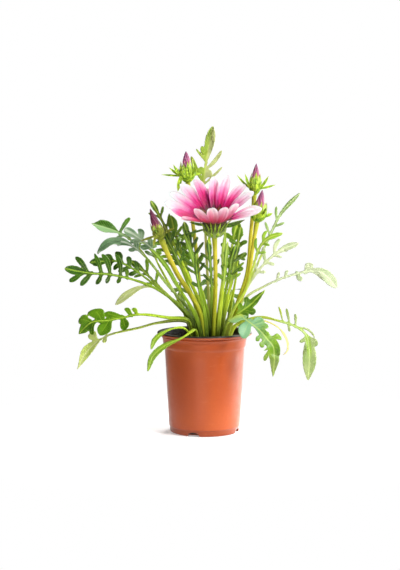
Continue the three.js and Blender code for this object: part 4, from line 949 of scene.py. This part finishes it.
def disc_paint():
    paint = Paint("disc_florets", 0.6)
    tone = paint.ramp(paint.value("share"), "0 #2c1a0c, 0.45 #5a3312, 0.75 #a8701c, 1 #e3b52e")
    tone = paint.tint(tone, "#4a3a14", paint.cloud(1.1, 3), 0.4, 0.7, 0, 0.5)
    return paint.done(tone, paint.cloud(3, 3), 0.4, 0.15)


def disc_level(share):
    return DISC_SEAT + DISC_HEIGHT * (1 - share**3)


def add_floret(skin, number):
    """A small tube. Towards the rim of the disc it leans out and opens."""
    out = (DISC_RADIUS - 0.5) * math.sqrt((number + 0.5) / FLORETS)
    share = out / DISC_RADIUS
    turn = number * GOLDEN_ANGLE
    turns = turns_of(FLORET_SIDES) + turn
    opened = float(smooth(share, 0.45, 0.9))
    tall = mix(0.7, 1.1, draw(61, number)) * mix(0.8, 1.3, opened)
    wide = mix(0.34, 0.46, opened)
    mouth = wide * mix(0.6, 1.3, opened)
    rings = []
    for radius, level in ((wide * 0.8, -0.4), (wide, tall * 0.5), (mouth, tall), (0.06, tall * 0.8)):
        x = out + radius * np.cos(turns) + 0.75 * share * level
        x, y = turned(x, radius * np.sin(turns), turn)
        rings.append(np.stack([x, y, disc_level(share) + level + 0 * turns], -1))
    tint = mix(0.3, 1.0, opened) * mix(0.7, 1.0, draw(67, number))
    skin.add_rings(rings, share=[0.1, 0.35, tint, 0.05])


def build_disc():
    """A low dome of florets in spirals."""
    skin = Skin()
    dome = [(DISC_RADIUS * share, disc_level(share)) for share in np.linspace(1, 0.005, 12)]
    add_turned(skin, [(AXIS, DISC_SEAT), (DISC_RADIUS, DISC_SEAT), *dome], DISC_SIDES, share=0.15)
    for number in range(FLORETS):
        add_floret(skin, number)
    skin.turn(BLOOM_ROUTE[-1], BLOOM_AXIS)
    make_piece("bloom_disc_florets", skin, [disc_paint()], ["bloom_disc"])


def build_bloom_green():
    """The bloom's stem and its cup, with teeth, five loose bracts and broad low ones."""
    skin = Skin()
    add_cup(skin, BLOOM_CUP, 6 * CUP_TEETH, CUP_TEETH, 0.05, 0.85, 3, 0.4)
    for tooth in range(CUP_TEETH):
        azimuth = 360 * (tooth + 0.3 * draw(71, tooth)) / CUP_TEETH
        front = max(0.0, math.cos(math.radians(azimuth)))
        reach = mix(15.6, 17.8, draw(73, tooth)) + 1.5 * front
        rise = mix(17.4, 19.2, draw(79, tooth)) + 4.5 * front
        points = [[10.6, 8.6], [13, 13.4], [reach, rise]]
        add_bract(skin, azimuth, points, mix(0.7, 1.05, draw(83, tooth)), 2 if tooth % 4 == 3 else 1)
    for azimuth, points, half, slot in (
        (80, "10.4 12.4, 19.5 15, 32 21.5", 2.5, 2),
        (276, "9.4 9, 25 5, 44 1", 1.2, 2),
        (262, "10.6 12.4, 18 13, 27 15", 1.6, 2),
        (322, "7.4 5.6, 9 -1, 4.4 -9", 1.5, 1),
        (200, "10.4 11.4, 19 11, 28 14", 1.7, 1),
    ):
        add_bract(skin, azimuth, rows_of(points), half, slot, rows=20, twist=BRACT_TWIST)
    for tooth in range(CUP_TEETH // 2):
        tip = [mix(12.6, 13.8, draw(89, tooth)), mix(9, 11.5, draw(97, tooth))]
        add_bract(skin, 360 * (2 * tooth + 1) / CUP_TEETH, [[8.4, 2.2], [11.6, 6.2], tip], 2, 1)
    skin.turn(BLOOM_ROUTE[-1], BLOOM_AXIS)
    add_scape(skin, BLOOM_ROUTE, 0.9 * SCAPE_RADIUS)
    make_piece("bloom_scape_and_cup", skin, [SCAPE, BRACT, BRACT_DARK, CUP_GREEN], ["bloom_stem"])


build_rays()
build_disc()
build_bloom_green()

# ---- buds
BUD_PETALS = 8
BUD_TEETH = 12
BUD_RIBS = 12
BUD_LOW_BRACTS = 8
BUD_MOUTH = 0.84  # radius of a cup's mouth, as a share of its half width
BUD_CUP = rows_of("0.01 0, 0.3 0, 0.42 0.03, 0.6 0.12, 0.8 0.24, 0.93 0.4, 1 0.6, 0.97 0.78, 0.84 1, "
                  "0.6 1, 0.01 0.98")


def bud_paint(name, stops, edge, seam):
    """Closed petals: purple outsides with paler edges where one wraps over the next."""
    paint = Paint(name, 0.45, Specular_IOR_Level=0.3, Subsurface_Weight=0.2, Subsurface_Scale=0.002)
    across = paint.value("across")
    tone = paint.ramp(paint.value("share"), stops)
    tone = paint.tint(tone, edge, across, 0.72, 0.98, 0, 0.7)
    tone = paint.tint(tone, seam, across, 0.0, 0.14, 0.6, 0)
    streaks = paint.maths("SINE", paint.times(across, 30))
    tone = paint.tint(tone, seam, streaks, 0.4, 1, 0, 0.25)
    return paint.done(tone, streaks, 0.3, 0.15)


BUD_MAUVE = bud_paint("bud_mauve", "0 #d8a4a8, 0.25 #b05c82, 0.6 #93406e, 1 #7a2a58", "#eccad2", "#5c1846")
BUD_DARK = bud_paint("bud_dark", "0 #a86068, 0.2 #7a2a48, 0.6 #6a1f42, 1 #4c1230", "#c07a92", "#340a20")


def add_closed_petals(skin, foot, radius, length):
    """Petals wound round each other to a cone, each with its edge standing off the next."""
    rows, sides = 40, 96
    share, turns = np.meshgrid(np.linspace(0, 1, rows), turns_of(sides), indexing="ij")
    petal = (turns + 1.5 * share) * BUD_PETALS / (2 * np.pi)
    across = petal - np.floor(petal)
    swell = np.interp(share, [0, 0.12, 0.35, 0.6, 0.8, 0.94, 1], [0.86, 0.97, 0.9, 0.66, 0.42, 0.17, 0.04])
    step = 0.16 * (across - 0.5) * np.sin(np.pi * np.clip(share, 0.02, 0.96)) ** 0.5
    out = radius * (swell + step * np.clip(swell * 1.4, 0, 1))
    places = circle(out, turns, foot + length * share)
    skin.add(places, tube_faces(rows, sides), share=share.ravel(), across=across.ravel())


def add_bud_bracts(skin, seed, half, height, rim):
    """Teeth that hold the petals, and a row of lower bracts."""
    for tooth in range(BUD_TEETH):
        azimuth = 360 / BUD_TEETH * (tooth + 0.4 * draw(seed, tooth))
        reach = mix(1.3, 1.62, draw(seed + 2, tooth))
        tip = [rim - mix(1.6, 0.4, draw(seed + 3, tooth)), height * reach]
        width = mix(1.5, 2.2, draw(seed + 4, tooth))
        points = [[half * BUD_MOUTH, height * 0.5], [rim - 0.1, height], tip]
        add_bract(skin, azimuth, points, width, 2 if tooth % 2 else 1, 0.35)
    for tooth in range(BUD_LOW_BRACTS):
        azimuth = 360 / BUD_LOW_BRACTS * (tooth + 0.5 * draw(seed + 5, tooth))
        tip = [half * mix(1.0, 1.3, draw(seed + 6, tooth)), height * mix(0.75, 1.15, draw(seed + 7, tooth))]
        points = [[half * 0.6, height * 0.16], [half, height * 0.5], tip]
        add_bract(skin, azimuth, points, mix(1.4, 2.0, draw(seed + 8, tooth)), 1)


def build_bud(name, seed, route, axis, cup, cone, bracts, stem=BUD_SCAPE_RADIUS, dark=False):
    """A bud. cup is its half width and height, and cone the radius and length of its petals.

    bracts has a row for each loose one: azimuth, reach, rise and width.
    """
    (half, height), (radius, length) = cup, cone
    route = rows_of(route)
    skin = Skin()
    add_closed_petals(skin, height + GAP, radius, length)
    skin.turn(route[-1], axis)
    petals = BUD_DARK if dark else BUD_MAUVE
    make_piece(f"bud_{name}_closed_petals", skin, [petals], [f"bud_{name}_petals"])

    skin = Skin()
    profile = [(out * half * 0.93, up * height) for out, up in BUD_CUP]
    add_cup(skin, profile, 8 * BUD_RIBS, BUD_RIBS, 0.06, 0.8, 1, 0.5)
    add_bud_bracts(skin, seed, half, height, max(radius + 1.6, half * BUD_MOUTH))
    for azimuth, reach, rise, width in rows_of(bracts):
        root, low = half * 0.8, height * 0.45
        points = [[root, low], [mix(root, reach, 0.5), mix(low, rise, 0.42)], [reach, rise]]
        add_bract(skin, azimuth, points, 0.75 * width, 1, 0.5, 0.8, rows=18, twist=BRACT_TWIST)
    skin.turn(route[-1], axis)
    add_scape(skin, route, stem)
    green = BRACT_OLIVE if dark else BRACT
    make_piece(f"bud_{name}_scape_and_cup", skin, [SCAPE, green, BRACT_TINGED], [f"bud_{name}_stem"])


build_bud("upper_left", 11, "-3 22, -5 26 140, -9 32 190, -14 34 230, -17.8 34 262",
          (-0.06, 0, 1), (9, 16), (4.6, 17),
          "270 28 10 1.8, 255 20 17 2.2, 285 15 20 2.4, 45 14 19 2.4, 200 18 12 2.2, 300 13 -9 3.2, "
          "110 15 9 2.4")
build_bud("left", 18, "-5 -14, -7 -14 125, -15 -16 146, -28 -20 168, -38 -23 189, -44.6 -24 204",
          (-0.36, -0.03, 1), (6.6, 13), (4.2, 21),
          "90 17 7 2, 265 21 6 2, 20 12 14 2.2, 200 14 12 2.2, 310 12 -3 2",
          stem=2.5, dark=True)
build_bud("upper_right", 25, "31 10, 38 12 126, 45 16 165, 49 19 205, 53 22 249",
          (0.06, 0, 1), (6.6, 15), (4, 18),
          "268 20 20 1.9, 285 12 22 2.1, 80 14 21 2.2, 95 22 12 1.9, 180 15 14 2.2")
build_bud("right", 32, "30 -8, 38 -7 126, 45 -3 158, 50 1 190, 55 4 221",
          (0.17, 0, 1), (9, 15), (4.4, 19),
          "250 14 14 2.4, 100 15 12 2.4, 30 13 17 2.3, 170 15 12 2.3")

# ---- peat
PEAT_SIDES = 120
PEAT_RINGS = 46
CRUMBS = 420
CRUMB_SIDES = 8
CRUMB_BALL = rows_of("-0.95 0.3, -0.5 0.86, 0 1, 0.5 0.86, 0.95 0.3")
PEAT_MARGIN = 1.2
PEAT_RADIUS = BAND_RADIUS - WALL - PEAT_MARGIN
DOME_RISE = 1.6
DOME_REACH = 40


def soil_height(x, y):
    dome = DOME_RISE * (1 - (x * x + y * y) / DOME_REACH**2)
    crumbs = 0.7 * np.sin(x * 0.31 + 1.3) * np.cos(y * 0.27 - 0.4)
    return SOIL_TOP + dome + crumbs + 0.4 * np.sin(x * 0.83 + y * 0.71)


def soil_paint():
    paint = Paint("peat_crumbs", 0.9)
    shades = "0.25 #120c08, 0.5 #2a1c12, 0.68 #4a3220, 0.85 #6b4c30"
    tone = paint.ramp(paint.cloud(0.5, 6, rough=0.65), shades)
    tone = paint.tint(tone, "#7d5c3c", paint.cloud(2.5, 3), 0.6, 0.78, 0, 0.6)
    return paint.done(tone, paint.cloud(1.2, 6, rough=0.7), 0.9, 0.8)


def add_crumb(skin, crumb):
    """A loose lump: a squashed ball of uneven radius, half sunk in."""
    out = PEAT_RADIUS * math.sqrt(draw(101, crumb)) * 0.98
    size = mix(0.5, 1.9, draw(107, crumb) ** 2.5)
    if out + size > PEAT_RADIUS:
        return
    x, y = turned(out, 0, 2 * math.pi * draw(103, crumb))
    level = soil_height(x, y) + 0.35 * size
    rings = []
    for row, (up, radius) in enumerate(CRUMB_BALL):
        draws = [draw(crumb, CRUMB_SIDES * row + side) for side in range(CRUMB_SIDES)]
        uneven = size * mix(0.7, 1.2, np.array(draws))
        ring = circle(radius * uneven, turns_of(CRUMB_SIDES), level + 0.7 * up * uneven)
        rings.append(ring + [x, y, 0])
    skin.add_rings(rings)


def build_soil():
    skin = Skin()
    turns = turns_of(PEAT_SIDES)
    foot, neck = FOOT_RADIUS - WALL - GAP, WALL_RADIUS - WALL - GAP
    bed = [(AXIS, BASE + GAP), (foot - 0.4, BASE + GAP), (foot + 0.5, FOOT_HEIGHT + 1.2),
           (neck - 0.3, BAND_STEP - 3.2)]
    rings = [circle(radius, turns, height) for radius, height in bed]
    for radius in np.linspace(PEAT_RADIUS, AXIS, PEAT_RINGS):
        x, y = radius * np.cos(turns), radius * np.sin(turns)
        spots = [Vector((a * 0.22, b * 0.22, 3)) for a, b in zip(x, y)]
        rough = np.array([noise.fractal(spot, 0.7, 2.1, 5) for spot in spots])
        rings.append(circle(radius, turns, soil_height(x, y) + 1.1 * np.clip(rough, -1, 1)))
    skin.add_rings(rings)
    for crumb in range(CRUMBS):
        add_crumb(skin, crumb)
    make_piece("peat_surface", skin, [soil_paint()], ["soil"])


build_soil()

# ---- pot
POT_SIDES = 160
WALL_STEPS = 12
NOTCH_STEPS = 12


def pot_paint():
    """Satin plastic with faint turned rings and dust, and painted shade darkening it below its step at the
    foot.
    """
    paint = Paint("terracotta_plastic_outside", 0.42, Specular_IOR_Level=0.4, Sheen_Weight=0.6,
                  Sheen_Roughness=0.35)
    tone = paint.tint("#a24210", "#ae4c14", paint.cloud(0.02, 3), 0.3, 0.7)
    tone = paint.tint(tone, "#9c4012", paint.cloud(0.35, 5), 0.35, 0.75, 0, 0.22)
    tone = paint.tint(tone, "#d08a60", paint.cloud(0.09, 5, (1, 1, 2.5)), 0.6, 0.85, 0, 0.12)
    parts = paint.node("SeparateXYZ")
    paint.put(parts.inputs[0], paint.place())
    height = parts.outputs[2]
    # Painted shade: darker below the step at the foot, where the wall above shades it.
    tone = paint.tint(tone, "#6a2404", height, FOOT_HEIGHT, FOOT_HEIGHT + 1.6, 0.5, 0)
    rings = paint.maths("SINE", paint.times(height, 2.6))
    paint.put(paint.shader.inputs["Roughness"], paint.step(paint.cloud(0.15, 4), 0.3, 0.7, 0.36, 0.52))
    return paint.done(tone, paint.plus(paint.times(rings, 0.25), paint.cloud(3.0, 4)), 0.25, 0.1)


def liner_paint():
    paint = Paint("pot_black_inside", 0.5)
    tone = paint.tint("#191513", "#38302b", paint.cloud(0.25, 4), 0.35, 0.7)
    tone = paint.tint(tone, "#5a4a3c", paint.cloud(0.9, 4), 0.58, 0.8, 0, 0.5)
    return paint.done(tone, paint.cloud(2.5, 4), 0.3, 0.1)


def near(radius, height, offsets):
    """Points of a profile, from their offsets to a radius and a height."""
    return [(radius + out, height + up) for out, up in rows_of(offsets)]


def pot_outside():
    """The outer profile: foot, long wall, step, band and rolled rim."""
    under = POT_HEIGHT - RIM_DEPTH
    wall = [(mix(FOOT_RADIUS + 0.85, WALL_RADIUS, step / WALL_STEPS),
             mix(FOOT_HEIGHT + 0.9, BAND_STEP - 2.6, step / WALL_STEPS)) for step in range(WALL_STEPS + 1)]
    return [
        (AXIS, 0),
        *near(FOOT_RADIUS, 0, "-1.4 0, -0.7 0.12, -0.3 0.5, -0.2 1.2"),
        *near(FOOT_RADIUS, FOOT_HEIGHT, "-0.02 -0.5, 0.2 -0.1, 0.65 0.3"),
        *wall,
        *near(WALL_RADIUS, BAND_STEP, "0.25 -1.9, 0.9 -0.7"),
        *near(BAND_RADIUS, BAND_STEP, "-1.35 0, -1.1 0.9, -0.65 5"),
        *near(BAND_RADIUS, under, "-0.2 -3.6, 0.25 -3.1, 0.65 -2.6, 0.7 -2.3, 0.55 -1.9, 0.1 -1.5"),
        *near(BAND_RADIUS, under, "0 -0.6, 0.5 -0.15"),
        *near(RIM_RADIUS, under, "-1.2 -0.2, -0.5 -0.05, -0.08 0.5, 0 1.1"),
        (RIM_RADIUS - 0.03, POT_HEIGHT - 1.2),
    ]


def pot_inside():
    """The profile from the top of the rim down the inner wall to the middle of the floor."""
    band = BAND_RADIUS - WALL
    foot = FOOT_RADIUS - WALL
    return [
        *near(RIM_RADIUS, POT_HEIGHT, "-0.3 -0.5, -0.9 -0.08, -1.6 0"),
        *near(band, POT_HEIGHT, "1.6 -0.02, 0.7 -0.4, 0.15 -1.2, 0 -2.2"),
        *near(band, BAND_STEP, "-1.2 1, -1.5 -0.3"),
        *near(WALL_RADIUS - WALL, BAND_STEP, "0.1 -2.2, 0 -3.2"),
        (foot + 0.85, FOOT_HEIGHT + 1.0),
        *near(foot, BASE, "-0.1 1, -0.9 0"),
        (AXIS, BASE),
    ]


def cut_notch(piece, degrees):
    """A drainage notch: an arch cut through the foot from outside."""
    half = NOTCH_WIDTH / 2
    arch = [(-half, -1), (half, -1)]
    for angle in np.linspace(0.1, math.pi - 0.1, NOTCH_STEPS):
        arch.append((half * math.cos(angle), NOTCH_HEIGHT * math.sin(angle) ** 0.8))
    ends = [[*turned(x, depth, math.radians(degrees)), z]
            for depth in (NOTCH_REACH - FOOT_RADIUS, -FOOT_RADIUS - 4) for x, z in arch]
    mesh = new_mesh("notch", np.array(ends), tube_faces(2, len(arch)))
    mesh.validate()
    cutter = new_object("notch", mesh)
    cut = piece.modifiers.new("notch", "BOOLEAN")
    cut.operation, cut.object, cut.solver = "DIFFERENCE", cutter, "EXACT"
    bpy.context.view_layer.objects.active = piece
    bpy.ops.object.modifier_apply(modifier=cut.name)
    bpy.data.objects.remove(cutter)
    bpy.data.meshes.remove(mesh)


def build_pot():
    skin = Skin()
    outside = pot_outside()
    add_turned(skin, outside + pot_inside(), POT_SIDES)
    painted = (len(outside) - 1) * POT_SIDES
    skin.slots = [int(face >= painted) for face in range(len(skin.faces) - 2)] + [0, 1]
    pot = make_piece("pot_shell", skin, [pot_paint(), liner_paint()], ["pot"])
    for degrees in NOTCHES:
        cut_notch(pot, degrees)


build_pot()

# ---- floor, light and camera. Places are in metres here.
FLOOR_REACH = 0.5
FLOOR_SIDES = 96
FLOOR_SINK = 0.0003
AMBIENT = 0.12
FLOOR_GLOW = 0.3
PICTURE_HEIGHT = 570  # pixels
FOCAL_PIXELS = 1384  # focal length in pixels of that picture
SENSOR_HEIGHT = 24
CAMERA_PLACE = (-0.0048, -1.45, 0.293)
CAMERA_TARGET = (-0.0048, 0, 0.155)


def build_floor():
    """A white floor that ends softly, so that no horizon shows behind the plant."""
    rim = circle(FLOOR_REACH / MM, turns_of(FLOOR_SIDES), 0)
    mesh = new_mesh("floor", rim, [list(range(FLOOR_SIDES))])
    floor = new_object("floor", mesh)
    paint = Paint("floor_white", 0.65, Emission_Strength=FLOOR_GLOW, Emission_Color=(1, 1, 1, 1))
    out = paint.node("VectorMath", operation="LENGTH")
    paint.put(out.inputs[0], paint.node("TexCoord").outputs["Object"])
    solid = paint.step(out.outputs["Value"], 0.12 * FLOOR_REACH, 0.6 * FLOOR_REACH, 1, 0)
    paint.put(paint.shader.inputs["Alpha"], solid)
    tone = paint.blend(paint.cloud(0.01, 2), "#fafafa", "#ffffff")
    paint.put(paint.shader.inputs["Base Color"], tone)
    mesh.materials.append(paint.material)
    floor.location.z = -FLOOR_SINK


def aim(thing, place, target):
    thing.location = place
    thing.rotation_euler = (Vector(target) - Vector(place)).to_track_quat("-Z", "Y").to_euler()


def add_light(name, power, size, place, target=(0, 0, 0.17), spread=180):
    light = bpy.data.lights.new(name, "AREA")
    light.energy = power
    light.size = size
    light.spread = math.radians(spread)
    aim(new_object(name, light), place, target)


def build_world():
    """A white studio: seen white, and lighting the plant a little less than that."""
    world = bpy.data.worlds.new("studio")
    world.use_nodes = True
    tree = world.node_tree
    seen = tree.nodes.new("ShaderNodeLightPath").outputs["Is Camera Ray"]
    strength = tree.nodes.new("ShaderNodeMapRange")
    strength.inputs["To Min"].default_value = AMBIENT
    strength.inputs["To Max"].default_value = 1.0
    tree.links.new(seen, strength.inputs["Value"])
    background = tree.nodes["Background"]
    background.inputs["Color"].default_value = (1, 1, 1, 1)
    tree.links.new(strength.outputs["Result"], background.inputs["Strength"])
    bpy.context.scene.world = world


def add_camera(place, target):
    camera = bpy.data.cameras.new("camera")
    camera.sensor_fit = "VERTICAL"
    camera.sensor_height = SENSOR_HEIGHT
    camera.lens = SENSOR_HEIGHT * FOCAL_PIXELS / PICTURE_HEIGHT
    camera.clip_start = 0.05
    viewpoint = new_object("camera", camera)
    aim(viewpoint, place, target)
    bpy.context.scene.camera = viewpoint


build_floor()
build_world()
add_light("key", 42, 0.7, (1.3, -0.9, 1.1))
add_light("side", 12, 0.6, (1.5, 0.1, 0.35), (0, 0, 0.12))
add_light("strip", 2, 0.7, (1.3, 0.7, 0.1), (0, 0, 0.04), 60)
add_light("rim", 34, 0.9, (0.7, 1.4, 0.9))
add_light("fill", 4, 1.2, (-1.5, -1.1, 0.8))
add_light("front", 10, 0.9, (-0.3, -1.7, 0.2))
add_light("bloom", 0.06, 0.25, (-0.2, -0.9, 0.12), (0.01, -0.03, 0.25), 20)
bpy.context.scene.view_settings.view_transform = "Standard"
add_camera(CAMERA_PLACE, CAMERA_TARGET)
